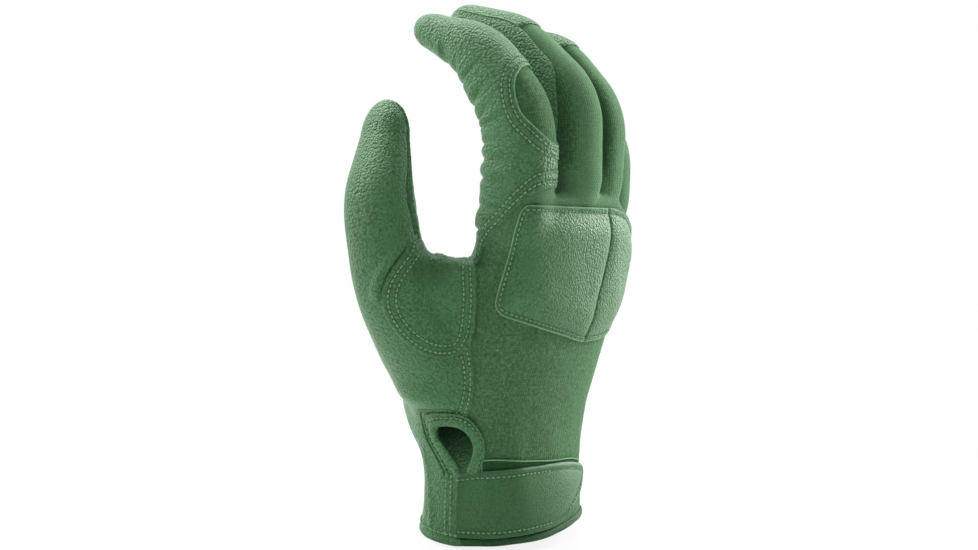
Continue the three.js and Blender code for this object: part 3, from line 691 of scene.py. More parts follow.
class ZoneMap:
    """Splits the glove where its bodies meet, so that each stretch crosses one joint at most."""

    turn_reach = 9.0
    clear = 0.2

    cuts = {"index": (6.5, 17.5, 44.0), "middle": (-3.0, 12.0, 43.0), "ring": (-2.0, 11.0, 39.0),
            "little": (-2.0, 9.5, 30.5)}
    thumb_cut = 80.5
    web_point = np.array([-43.0, -6.0, 112.0])
    web_along = unit(np.array([-0.62, 0.62, 0.48]))
    web_side = unit(np.array([-0.8, 0.6, 0.0]))
    web_reach = (3.0, 11.5)

    def __init__(self, body: GloveBody) -> None:
        """Works out where each zone's turn starts and ends.

        Args:
            body: Forms of the glove.
        """
        self.body = body
        self.zones = {"hand": Zone("hand", "hand")}
        for digit in body.fingers:
            name = digit.name
            first, second, third = self.cuts[name]
            centre = digit.axes(np.array([first + 1, second - 1]))[0]
            self.put(f"{name}_root", "hand", f"{name}_proximal", centre[0], centre[1])
            self.bend(digit, f"{name}_mid", f"{name}_proximal", f"{name}_middle", digit.starts[1], second,
                      third)
            self.bend(digit, f"{name}_end", f"{name}_middle", f"{name}_distal", digit.starts[2], third,
                      None)
        low, high = (self.web_point + self.web_along * k for k in self.web_reach)
        self.put("thumb_low", "hand", "thumb_proximal", low, high)
        self.bend(body.thumb, "thumb_high", "thumb_proximal", "thumb_distal", body.thumb.starts[2],
                  self.thumb_cut, None)

    def put(self, name: str, a: str, b: str, start: np.ndarray, end: np.ndarray) -> None:
        """Adds a zone between two bodies."""
        self.zones[name] = Zone(name, a, b, tuple(map(float, start)), tuple(map(float, end)))

    def bend(self, digit: Digit, name: str, a: str, b: str, joint: float, low: float,
             high: float | None) -> None:
        """Adds a zone round a joint, its turn kept clear of the zone's cut ends.

        Args:
            digit: The finger or thumb.
            name: Name of the zone.
            a: Body before the joint.
            b: Body after it.
            joint: Length along the digit at the joint.
            low: Length of the cut before the joint.
            high: Length of the cut after it, if there is one.
        """
        far = high if high is not None else joint + 10
        centre, _, _, along = digit.axes(np.array([joint, low, far]))
        way = unit(along[1] + along[2])
        round_ = np.linspace(0, 360, 40)

        def ring(length: float) -> np.ndarray:
            """Places of the leather's ring at a length, along the turn."""
            return (digit.point(length + 0 * round_, round_, SHELL) - centre[0]) @ way

        lowest = ring(low).max() + self.clear
        highest = -lowest if high is None else ring(high).min() - self.clear
        lowest, highest = max(lowest, -self.turn_reach), min(highest, self.turn_reach)
        self.put(name, a, b, centre[0] + way * lowest, centre[0] + way * max(highest, lowest + 2))

    def values(self, points: np.ndarray,
               at: dict[str, dict[str, np.ndarray]] | None = None) -> dict[str, np.ndarray]:
        """Numbers that are positive inside each zone's stretch.

        Args:
            points: Places in millimetres.
            at: Digit coordinates of the points, if they are known.
        Returns:
            One array for each cut.
        """
        at = at or {d.name: d.locate(points) for d in self.body.digits}
        rho = {n: np.where(v["s"] > (-8 if n != "thumb" else 45), v["rho"], 9.0) for n, v in at.items()}
        made = {}
        for name, (first, second, third) in self.cuts.items():
            other = np.min([rho[n] for n in rho if n != name], axis=0)
            s = at[name]["s"]
            made[f"{name}_root"] = np.minimum(s - first, 14 * (other - at[name]["rho"]))
            made[f"{name}_mid"], made[f"{name}_end"] = s - second, s - third
        far = points - self.web_point
        made["thumb_low"] = np.minimum(far @ self.web_along - self.web_reach[0] + 0.1, far @ self.web_side)
        fingers = np.min([rho[n] for n in self.cuts], axis=0)
        made["thumb_low"] = np.minimum(made["thumb_low"],
                                       14 * (fingers - np.minimum(at["thumb"]["rho"], 1.3)) + 6)
        made["thumb_high"] = at["thumb"]["s"] - self.thumb_cut
        return made

    def names(self, points: np.ndarray) -> np.ndarray:
        """Zone name of each point."""
        value = self.values(points)
        found = np.full(len(points), "hand", dtype=object)
        for name in self.cuts:
            inside = value[f"{name}_root"] > 0
            found[inside] = f"{name}_root"
            found[inside & (value[f"{name}_mid"] > 0)] = f"{name}_mid"
            found[inside & (value[f"{name}_end"] > 0)] = f"{name}_end"
        thumb = (value["thumb_low"] > 0) & (found == "hand")
        found[thumb] = "thumb_low"
        found[thumb & (value["thumb_high"] > 0)] = "thumb_high"
        return found

    def split(self, surface: Surface) -> dict[str, Surface]:
        """Parts of a surface by zone; the surface carries the zone values as fields."""
        parts, rest = {}, surface
        for name in self.cuts:
            inside, rest = rest.clip(rest.fields[f"{name}_root"]), rest.clip(-rest.fields[f"{name}_root"])
            parts[f"{name}_end"] = inside.clip(inside.fields[f"{name}_end"])
            inside = inside.clip(-inside.fields[f"{name}_end"])
            parts[f"{name}_mid"] = inside.clip(inside.fields[f"{name}_mid"])
            parts[f"{name}_root"] = inside.clip(-inside.fields[f"{name}_mid"])
        inside, parts["hand"] = rest.clip(rest.fields["thumb_low"]), rest.clip(-rest.fields["thumb_low"])
        parts["thumb_high"] = inside.clip(inside.fields["thumb_high"])
        parts["thumb_low"] = inside.clip(-inside.fields["thumb_high"])
        return {n: s for n, s in parts.items() if len(s.faces) > 8}


# Pieces from surfaces


def polygon_distance(corners: list[tuple[float, float]], u: np.ndarray, v: np.ndarray) -> np.ndarray:
    """Distance of chart places from a closed outline, positive inside.

    Args:
        corners: Corners of the outline.
        u: First chart coordinate.
        v: Second chart coordinate.
    Returns:
        One distance for each place.
    """
    ring = np.asarray(corners, float)
    best = np.full(len(u), 1e9)
    inside = np.zeros(len(u), bool)
    for (x0, y0), (x1, y1) in zip(ring, np.roll(ring, -1, 0)):
        dx, dy = x1 - x0, y1 - y0
        t = np.clip(((u - x0) * dx + (v - y0) * dy) / max(dx * dx + dy * dy, 1e-9), 0, 1)
        best = np.minimum(best, np.hypot(u - x0 - t * dx, v - y0 - t * dy))
        crosses = (y0 > v) != (y1 > v)
        with np.errstate(divide="ignore", invalid="ignore"):
            inside ^= crosses & (u < dx * (v - y0) / (dy if dy else 1e-9) + x0)
    return np.where(inside, best, -best)


def rounded(corners: list[tuple[float, float]], rounds: int = 3) -> list[tuple[float, float]]:
    """An outline with its corners cut to a smooth curve."""
    ring = np.asarray(corners, float)
    for _ in range(rounds):
        after = np.roll(ring, -1, 0)
        ring = np.stack([ring * 0.75 + after * 0.25, ring * 0.25 + after * 0.75], 1).reshape(-1, 2)
    return [tuple(p) for p in ring]


def sheet_piece(name: str, surface: Surface, thickness: float,
                finish: bpy.types.Material) -> bpy.types.Object:
    """A closed sheet piece with smooth shading that runs on over cut edges.

    Args:
        name: Piece name.
        surface: Outer face, with its normals and an optional cloth chart as fields.
        thickness: Thickness in millimetres, grown inwards.
        finish: Its material.
    Returns:
        The piece.
    """
    closed = surface.shell(thickness)
    made = mesh_object(name, closed.points, closed.faces)
    mesh = made.data
    outer = len(surface.faces)
    normals = np.zeros((len(closed.faces), 3, 3), np.float32)
    normals[:2 * outer] = closed.fields["normal"][closed.faces[:2 * outer]]
    mesh.polygons.foreach_set("use_smooth", np.ones(len(mesh.polygons), bool))
    if len(mesh.polygons) == len(closed.faces):
        mesh.normals_split_custom_set(normals.reshape(-1, 3).tolist())
    if "cloth" in closed.fields:
        chart = mesh.attributes.new("cloth", "FLOAT_VECTOR", "POINT")
        chart.data.foreach_set("vector", closed.fields["cloth"].astype(np.float32).ravel())
    # the groove value is where painted shade darkens the stitch rows
    if "groove" in closed.fields:
        dip = mesh.attributes.new("groove", "FLOAT", "POINT")
        dip.data.foreach_set("value", closed.fields["groove"].astype(np.float32))
    mesh.materials.append(finish)
    return made


def grid_surface(points: np.ndarray) -> Surface:
    """Triangles over a grid of points, its first axis up and its second to the right from outside."""
    rows, cols = points.shape[:2]
    i, j = np.meshgrid(np.arange(rows - 1), np.arange(cols - 1), indexing="ij")
    a = (i * cols + j).ravel()
    quads = np.stack([a, a + 1, a + cols + 1, a + cols], 1)
    faces = np.concatenate([quads[:, [0, 1, 2]], quads[:, [0, 2, 3]]])
    return Surface(points.reshape(-1, 3), faces)


def resample(chain: np.ndarray, pitch: float) -> np.ndarray:
    """Points at an even pitch along a chain, all columns carried."""
    step = np.linalg.norm(np.diff(chain[:, :3], axis=0), axis=1)
    length = np.concatenate([[0], np.cumsum(step)])
    count = max(int(round(length[-1] / pitch)), 2)
    at = np.linspace(0, length[-1], count + 1)
    return np.stack([np.interp(at, length, chain[:, k]) for k in range(chain.shape[1])], 1)


def smoothed(chain: np.ndarray, rounds: int) -> np.ndarray:
    """A chain with its small steps evened out, its ends kept."""
    chain = chain.copy()
    for _ in range(rounds):
        chain[1:-1] = 0.5 * chain[1:-1] + 0.25 * (chain[:-2] + chain[2:])
    return chain


def tube_mesh(chain: np.ndarray, radius: float | np.ndarray, sides: int = 8,
              wide: float = 1.0) -> tuple[np.ndarray, np.ndarray]:
    """Rounded cord along a chain of places and directions, closed at both ends.

    Args:
        chain: Rows of place and outward direction.
        radius: Radius in millimetres, one value or one for each place.
        sides: Faces round the cord.
        wide: How much wider than tall it is.
    Returns:
        Points and triangles.
    """
    place = chain[:, :3]
    along = unit(np.gradient(place, axis=0))
    out = unit(chain[:, 3:6] - (chain[:, 3:6] * along).sum(1, keepdims=True) * along)
    across = np.cross(along, out) * wide
    turn = np.linspace(0, 2 * np.pi, sides, endpoint=False)
    r = np.broadcast_to(np.asarray(radius, float), (len(chain),))[:, None, None]
    rings = place[:, None] + r * (np.cos(turn)[None, :, None] * out[:, None]
                                  + np.sin(turn)[None, :, None] * across[:, None])
    n, base = len(chain), rings.reshape(-1, 3)
    i, j = np.meshgrid(np.arange(n - 1), np.arange(sides), indexing="ij")
    a, b = (i * sides + j).ravel(), (i * sides + (j + 1) % sides).ravel()
    faces = np.concatenate([np.stack([a, b, b + sides], 1), np.stack([a, b + sides, a + sides], 1)])
    ends = np.stack([place[0] - along[0] * r[0, 0, 0] * 0.5, place[-1] + along[-1] * r[-1, 0, 0] * 0.5])
    k = np.arange(sides)
    first, last = len(base), len(base) + 1
    caps = np.concatenate([
        np.stack([np.full(sides, first), (k + 1) % sides, k], 1),
        np.stack([np.full(sides, last), (n - 1) * sides + k, (n - 1) * sides + (k + 1) % sides], 1)])
    return np.concatenate([base, ends]), np.concatenate([faces, caps])


def joined(parts: list[tuple[np.ndarray, np.ndarray]]) -> tuple[np.ndarray, np.ndarray]:
    """Several meshes as one set of points and faces."""
    points, faces, base = [], [], 0
    for p, f in parts:
        points.append(p)
        faces.append(f + base)
        base += len(p)
    return np.concatenate(points), np.concatenate(faces)


def smooth_piece(name: str, points: np.ndarray, faces: np.ndarray,
                 finish: bpy.types.Material) -> bpy.types.Object:
    """A mesh piece with smooth shading and one finish."""
    made = mesh_object(name, points, faces)
    made.data.polygons.foreach_set("use_smooth", np.ones(len(made.data.polygons), bool))
    made.data.materials.append(finish)
    return made


# Finishes


def linear(code: str) -> tuple[float, float, float, float]:
    """Linear colour of an sRGB hex code."""
    parts = [int(code[k:k + 2], 16) / 255 for k in (1, 3, 5)]
    return (*((c / 12.92 if c <= 0.04045 else ((c + 0.055) / 1.055) ** 2.4) for c in parts), 1.0)


def add(tree: bpy.types.NodeTree, kind: str, settings: dict | None = None,
        **links: object) -> bpy.types.Node:
    """Adds a node with its settings and links.

    Args:
        tree: Node tree of a material or world.
        kind: Node type.
        settings: Properties of the node, and values of its inputs by name or number.
        links: Inputs fed by an output socket, by name with _ for a space, or i and a number.
    Returns:
        The node.
    """
    node = tree.nodes.new(kind)
    for key, value in (settings or {}).items():
        if isinstance(key, int) or (isinstance(key, str) and key in node.inputs):
            node.inputs[key].default_value = value
        else:
            setattr(node, key, value)
    for key, value in links.items():
        slot = int(key[1:]) if key[0] == "i" and key[1:].isdigit() else key.replace("_", " ")
        tree.links.new(value, node.inputs[slot])
    return node


def blank(name: str) -> tuple[bpy.types.Material, bpy.types.NodeTree]:
    """A new material and its emptied node tree."""
    made = bpy.data.materials.new(name)
    made.use_nodes = True
    made.node_tree.nodes.clear()
    return made, made.node_tree


def maths(tree: bpy.types.NodeTree, operation: str, *values: object) -> bpy.types.NodeSocket:
    """Output of a math node fed, in order, by sockets and plain numbers."""
    plain = {k: v for k, v in enumerate(values) if isinstance(v, (int, float))}
    links = {f"i{k}": v for k, v in enumerate(values) if k not in plain}
    return add(tree, "ShaderNodeMath", {"operation": operation, **plain}, **links).outputs[0]


def noise(tree: bpy.types.NodeTree, at: bpy.types.NodeSocket, scale: float, detail: float = 3.0,
          **more: float) -> bpy.types.Node:
    """A noise texture at a place; more sets its other inputs."""
    return add(tree, "ShaderNodeTexNoise", {"Scale": scale, "Detail": detail, **more}, Vector=at)


def spread(tree: bpy.types.NodeTree, value: bpy.types.NodeSocket, low: float, high: float,
           to: tuple[float, float] = (0.0, 1.0)) -> bpy.types.NodeSocket:
    """A value carried from one range to another and kept inside it."""
    span = {"From Min": low, "From Max": high, "To Min": to[0], "To Max": to[1]}
    return add(tree, "ShaderNodeMapRange", span, Value=value).outputs[0]


def tinted(tree: bpy.types.NodeTree, share: bpy.types.NodeSocket, under: bpy.types.NodeSocket | str,
           over: str) -> bpy.types.NodeSocket:
    """A colour with a share of another over it, the codes in sRGB."""
    codes = {"data_type": "RGBA", 7: linear(over)}
    if isinstance(under, str):
        return add(tree, "ShaderNodeMix", {**codes, 6: linear(under)}, i0=share).outputs[2]
    return add(tree, "ShaderNodeMix", codes, i0=share, i6=under).outputs[2]


# painted shade for the stitch grooves
GROOVE_SHADE = "#1d3b20"
# painted shade between the fingers and in the web patch's hollow
SHADE = "#1f4023"
LINT = "#9dba9c"
CLOTH_SHEEN = "#9cc89e"
LEATHER_SHEEN = "#94c898"
LEATHER_GLOSS = "#b6dab8"


class Slot(Enum):
    """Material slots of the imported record."""

    LEATHER = "leather"
    PAD = "pad_leather"
    KNIT = "knit"
    BINDING = "binding"
    HOOK = "hook_and_loop"


@dataclass(frozen=True)
class LeatherFinish:
    """Drum-dyed goatskin: pebbled grain, soft sheen, and a painted tone where it is slack, paler by default
    as a painted light.
    """

    name: str
    colour: str
    pale: str
    dark: str
    pebble: float
    depth: float
    rough: float
    sheen: float = 0.12
    wrinkle: float = 0.0
    painted_slack_tone: str = "#649a68"
    painted_slack_share: float = 0.3

    def make(self) -> bpy.types.Material:
        """The material; the pebbles catch small lights and the creases between them stay dark, helped by
        painted colour: paler pebble tops as painted highlight, darker creases as painted shade.
        """
        made, tree = blank(self.name)
        grain = self.pebble * MM
        place = add(tree, "ShaderNodeTexCoord").outputs["Object"]
        # soft wander so that the pebbles are not all of one shape
        wander = noise(tree, place, 0.35 / grain, 1.0).outputs["Color"]
        shift = add(tree, "ShaderNodeVectorMath", {"operation": "SCALE", "Scale": grain * 0.5}, i0=wander)
        moved = add(tree, "ShaderNodeVectorMath", {"operation": "ADD"}, i0=place, i1=shift.outputs[0])
        cells = add(tree, "ShaderNodeTexVoronoi",
                    {"feature": "SMOOTH_F1", "Scale": 1 / grain, "Smoothness": 0.15},
                    Vector=moved.outputs[0]).outputs["Distance"]
        fine = noise(tree, place, 2.2 / grain).outputs["Fac"]
        broad = noise(tree, place, 70.0, Roughness=0.6).outputs["Fac"]
        height = maths(tree, "MULTIPLY_ADD", fine, 0.35, maths(tree, "MULTIPLY", cells, -1.0))
        # fine creases that run across the digits where the leather is slack
        chart = add(tree, "ShaderNodeAttribute", {"attribute_name": "cloth"}).outputs["Vector"]
        slack = add(tree, "ShaderNodeSeparateXYZ", i0=chart).outputs[2]
        across = add(tree, "ShaderNodeVectorMath", {"operation": "MULTIPLY", 1: (0.2, 1.0, 0.0)}, i0=chart)
        crease = noise(tree, across.outputs[0], 0.5, Distortion=0.8).outputs["Fac"]
        deep = maths(tree, "MULTIPLY", slack, self.wrinkle)
        lined = maths(tree, "MULTIPLY", spread(tree, crease, 0.48, 0.3, (0.0, 0.55)), slack)
        height = maths(tree, "MULTIPLY_ADD", crease, deep, height)
        bump = add(tree, "ShaderNodeBump", {"Strength": 1.0, "Distance": self.depth * MM}, Height=height)
        # pebble tops painted paler and the creases between them darker: painted highlight and shade on the
        # grain
        base = tinted(tree, spread(tree, cells, 0.15, 0.75), self.pale, self.dark)
        colour = tinted(tree, spread(tree, broad, 0.42, 0.85), base, self.colour)
        # slack leather is painted a tone of its own, a painted light on the digits' palm side and a painted
        # shade in the web patch's hollow, and its creases are painted dark as painted shade
        colour = tinted(tree, maths(tree, "MULTIPLY", slack, self.painted_slack_share), colour, self.painted_slack_tone)
        colour = tinted(tree, lined, colour, self.dark)
        # grooves drawn in by the stitches are painted dark: painted shade along the stitch rows and the
        # thumb's seam
        groove_shade = add(tree, "ShaderNodeAttribute", {"attribute_name": "groove"}).outputs["Fac"]
        colour = tinted(tree, maths(tree, "MULTIPLY", groove_shade, 0.75), colour, GROOVE_SHADE)
        gloss = spread(tree, broad, 0.0, 1.0, (self.rough - 0.06, self.rough + 0.1))
        look = {"IOR": 1.48, "Sheen Weight": self.sheen, "Sheen Roughness": 0.45,
                "Sheen Tint": linear(LEATHER_SHEEN), "Specular IOR Level": 0.5,
                "Specular Tint": linear(LEATHER_GLOSS)}
        skin = add(tree, "ShaderNodeBsdfPrincipled", look, Base_Color=colour, Roughness=gloss,
                   Normal=bump.outputs[0])
        add(tree, "ShaderNodeOutputMaterial", Surface=skin.outputs[0])
        return made


@dataclass(frozen=True)
class KnitFinish:
    """Brushed cotton and spandex knit: fine wales along the hand, soft fuzz, a few pale fibres."""

    name: str
    colour: str
    pale: str
    dark: str
    painted_light_tone: str
    wale: float = 1.0
    course: float = 0.9

    def make(self) -> bpy.types.Material:
        """The material; wales lie on the cloth chart and are drawn a little coarse so that they show."""
        made, tree = blank(self.name)
        chart = add(tree, "ShaderNodeAttribute", {"attribute_name": "cloth"}).outputs["Vector"]
        place = add(tree, "ShaderNodeTexCoord").outputs["Object"]
        split = add(tree, "ShaderNodeSeparateXYZ", i0=chart).outputs
        wobble = maths(tree, "MULTIPLY", noise(tree, chart, 0.45).outputs["Fac"], 2.6)
        wale = maths(tree, "SINE", maths(tree, "MULTIPLY_ADD", split[0], 2 * math.pi / self.wale, wobble))
        half = maths(tree, "MULTIPLY", maths(tree, "ABSOLUTE", wale), 2.2)
        loop = maths(tree, "SINE", maths(tree, "MULTIPLY_ADD", split[1], 2 * math.pi / self.course, half))
        weave = maths(tree, "MULTIPLY_ADD", loop, 0.4, maths(tree, "MULTIPLY", wale, 0.6))
        fuzz = noise(tree, place, 1100.0, 4.0, Roughness=0.7).outputs["Fac"]
        mottle = noise(tree, place, 1000.0, Roughness=0.6).outputs["Fac"]
        height = maths(tree, "MULTIPLY_ADD", fuzz, 5.0, weave)
        bump = add(tree, "ShaderNodeBump", {"Strength": 0.8, "Distance": 0.07 * MM}, Height=height)
        blotch = maths(tree, "MULTIPLY_ADD", mottle, 1.5, -0.25)
        yarn = add(tree, "ShaderNodeValToRGB", i0=maths(tree, "MULTIPLY_ADD", weave, 0.13, blotch))
        ramp = yarn.color_ramp
        ramp.elements[0].position, ramp.elements[0].color = 0.12, linear(self.dark)
        ramp.elements[1].position, ramp.elements[1].color = 0.95, linear(self.pale)
        ramp.elements.new(0.5).color = linear(self.colour)
        # a few pale fibres caught in the knit
        lint = add(tree, "ShaderNodeTexVoronoi", {"Scale": 1 / (5.5 * MM)}, Vector=place)
        speck = maths(tree, "LESS_THAN", lint.outputs["Distance"], 0.045)
        colour = tinted(tree, maths(tree, "MULTIPLY", speck, 0.55), yarn.outputs["Color"], LINT)
        # over the fingers the knit is painted paler, more so higher up: painted light on the finger backs
        colour = tinted(tree, spread(tree, split[2], 0.0, 1.0, (0.0, 0.5)), colour, self.painted_light_tone)
        # the side strips between the fingers are painted dark: painted shade between the fingers
        colour = tinted(tree, spread(tree, split[2], 0.0, -1.0, (0.0, 0.85)), colour, SHADE)
        look = {"Roughness": 0.92, "Sheen Weight": 0.25, "Sheen Roughness": 0.5,
                "Sheen Tint": linear(CLOTH_SHEEN), "Specular IOR Level": 0.2}
        cloth = add(tree, "ShaderNodeBsdfPrincipled", look, Base_Color=colour, Normal=bump.outputs[0])
        add(tree, "ShaderNodeOutputMaterial", Surface=cloth.outputs[0])
        return made


@dataclass(frozen=True)
class ThreadFinish:
    """Spun polyester thread, pile tape or webbing: even, matt, with a fine fleck."""

    name: str
    colour: str
    dark: str
    fleck: float
    depth: float
    rough: float = 0.7

    def make(self) -> bpy.types.Material:
        """The material; the fleck stands for twist or pile and keeps it from looking like plastic."""
        made, tree = blank(self.name)
        place = add(tree, "ShaderNodeTexCoord").outputs["Object"]
        fleck = noise(tree, place, 1 / (self.fleck * MM)).outputs["Fac"]
        colour = tinted(tree, spread(tree, fleck, 0.3, 0.7), self.dark, self.colour)
        bump = add(tree, "ShaderNodeBump", {"Strength": 0.6, "Distance": self.depth * MM}, Height=fleck)
        look = {"Roughness": self.rough, "Sheen Weight": 0.1, "Sheen Tint": linear(CLOTH_SHEEN),
                "Specular IOR Level": 0.2}
        thread = add(tree, "ShaderNodeBsdfPrincipled", look, Base_Color=colour, Normal=bump.outputs[0])
        add(tree, "ShaderNodeOutputMaterial", Surface=thread.outputs[0])
        return made


class Wardrobe:
    """All finishes of the glove, made once."""

    def __init__(self) -> None:
        """Makes the materials."""
        self.leather = LeatherFinish("pebbled_goatskin", "#436f46", "#4f7d52", "#345a38", 0.95, 0.52, 0.42,
                                     wrinkle=2.6).make()
        self.pad = LeatherFinish("fine_grain_pad_leather", "#3f6841", "#4b784e", "#345a37", 0.85, 0.34,
                                 0.5).make()
        self.patch = LeatherFinish("smooth_patch_leather", "#416e45", "#4d7d50", "#315736", 0.9, 0.5, 0.42,
                                   wrinkle=3.0, painted_slack_tone=SHADE, painted_slack_share=0.55).make()
        self.strap = LeatherFinish("strap_leather", "#365d39", "#406b43", "#2d5031", 0.75, 0.1, 0.5).make()
        self.knit = KnitFinish("brushed_cotton_knit", "#426642", "#5b855c", "#294a2b", "#5e8661").make()
        self.thread = ThreadFinish("spun_polyester_thread", "#84ae87", "#648e67", 0.35, 0.05).make()
        self.binding = LeatherFinish("rolled_edge_leather", "#43704a", "#558558", "#305634", 0.8, 0.2,
                                     0.5).make()
        self.pile = ThreadFinish("loop_pile_tape", "#2c5430", "#17351b", 0.5, 0.3, 0.95).make()
        # the edge cords are painted paler than the leather: a painted highlight along the edges
        self.cut = ThreadFinish("edge_cord_painted_highlight", "#7dab80", "#618f64", 0.5, 0.05, 0.8).make()
        # the hem at the back is painted dark: painted shade under the cuff's edge
        self.hem = LeatherFinish("hem_leather_painted_shade", "#274b2b", "#335a37", "#1c3d20", 0.8, 0.15,
                                 0.65).make()


# Sewing


class Sewing:
    """Stitches and cords laid along lines, kept apart by the zone that carries them."""

    pitch = 1.9
    lift = 0.05
    stitch_length = 1.2
    thread_radius = 0.3

    def __init__(self, zones: ZoneMap, wardrobe: Wardrobe) -> None:
        """Starts with an empty work basket.

        Args:
            zones: Zones of the glove.
            wardrobe: Finishes.
        """
        self.zones, self.wardrobe = zones, wardrobe
        self.stitches: dict[str, list[np.ndarray]] = {}
        self.cords: dict[tuple[str, str], list[tuple[np.ndarray, np.ndarray]]] = {}
        self.bends: dict[str, dict[str, tuple[float, ...]]] = {}

    def stitch_shape(self) -> tuple[np.ndarray, np.ndarray]:
        """One stitch along X with its back on Z: a short thread that dips into its holes."""
        t = np.array([-1, -0.82, -0.3, 0.3, 0.82, 1])
        chain = np.zeros((len(t), 6))
        chain[:, 0] = t * self.stitch_length / 2
        chain[:, 2] = 0.12 - 0.42 * np.abs(t) ** 4
        chain[:, 5] = 1
        return tube_mesh(chain, self.thread_radius * np.array([0.55, 0.9, 1, 1, 0.9, 0.55]), 6)

    def row(self, chain: np.ndarray, zone: str | None = None) -> None:
        """Sews a row of stitches along a chain.

        Args:
            chain: Rows of place and outward direction.
            zone: Zone that carries the row, or none to find it from each stitch's place.
        """
        even = resample(smoothed(chain, 6), self.pitch / 2)
        if len(even) < 4:
            return
        place = even[1:-1:2]
        along = unit(even[2::2, :3][:len(place)] - even[0:-2:2, :3][:len(place)])
        place = place[:len(along)]
        out = unit(place[:, 3:6] - (place[:, 3:6] * along).sum(1, keepdims=True) * along)
        frames = np.concatenate([place[:, :3] + out * self.lift, along, out], 1)
        names = np.full(len(frames), zone, dtype=object) if zone else self.zones.names(place[:, :3])
        for name in sorted(set(names)):
            self.stitches.setdefault(name, []).append(frames[names == name])

    def cord(self, chain: np.ndarray, radius: float, kind: str, zone: str | None = None) -> None:
        """Lays a rounded cord, such as a turned edge, along a chain, cut where zones meet."""
        even = resample(smoothed(chain, 8), max(radius * 1.6, 0.7))
        names = np.full(len(even), zone, dtype=object) if zone else self.zones.names(even[:, :3])
        start = 0
        for k in range(1, len(even) + 1):
            if k == len(even) or names[k] != names[start]:
                part = even[start:min(k + 1, len(even))]
                if len(part) > 2:
                    self.cords.setdefault((names[start], kind), []).append(tube_mesh(part, radius, 7))
                start = k

    def make(self) -> None:
        """Turns all that was laid into pieces, one of each kind for each zone."""
        points, faces = self.stitch_shape()
        for zone, groups in sorted(self.stitches.items()):
            frames = np.concatenate(groups)
            along, out = frames[:, 3:6], frames[:, 6:9]
            across = np.cross(out, along)
            placed = (frames[:, None, :3] + points[None, :, :1] * along[:, None]
                      + points[None, :, 1:2] * across[:, None]
                      + points[None, :, 2:] * out[:, None])
            every = faces[None] + (np.arange(len(frames)) * len(points))[:, None, None]
            piece = smooth_piece(f"{zone}_stitching", placed.reshape(-1, 3), every.reshape(-1, 3),
                                 self.wardrobe.thread)
            self.carry(piece, zone)
        for (zone, kind), parts in sorted(self.cords.items()):
            # cut cords take the pale finish, a painted highlight along the edges
            finish = {"edge": self.wardrobe.binding, "cut": self.wardrobe.cut}[kind]
            piece = smooth_piece(f"{zone}_{kind}_cord", *joined(parts), finish)
            self.carry(piece, zone)

    def carry(self, piece: bpy.types.Object, zone: str) -> None:
        """Ties a piece to a zone, or to a body of that name; where a bend is given, only its transform is
        baked.
        """
        if zone in self.zones.zones:
            self.zones.zones[zone].carry(piece)
        elif zone in self.bends:
            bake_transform(piece)
        else:
            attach(piece, zone)
        LOG.info("%s: %d faces", piece.name, len(piece.data.polygons))


# Leather and knit of the body


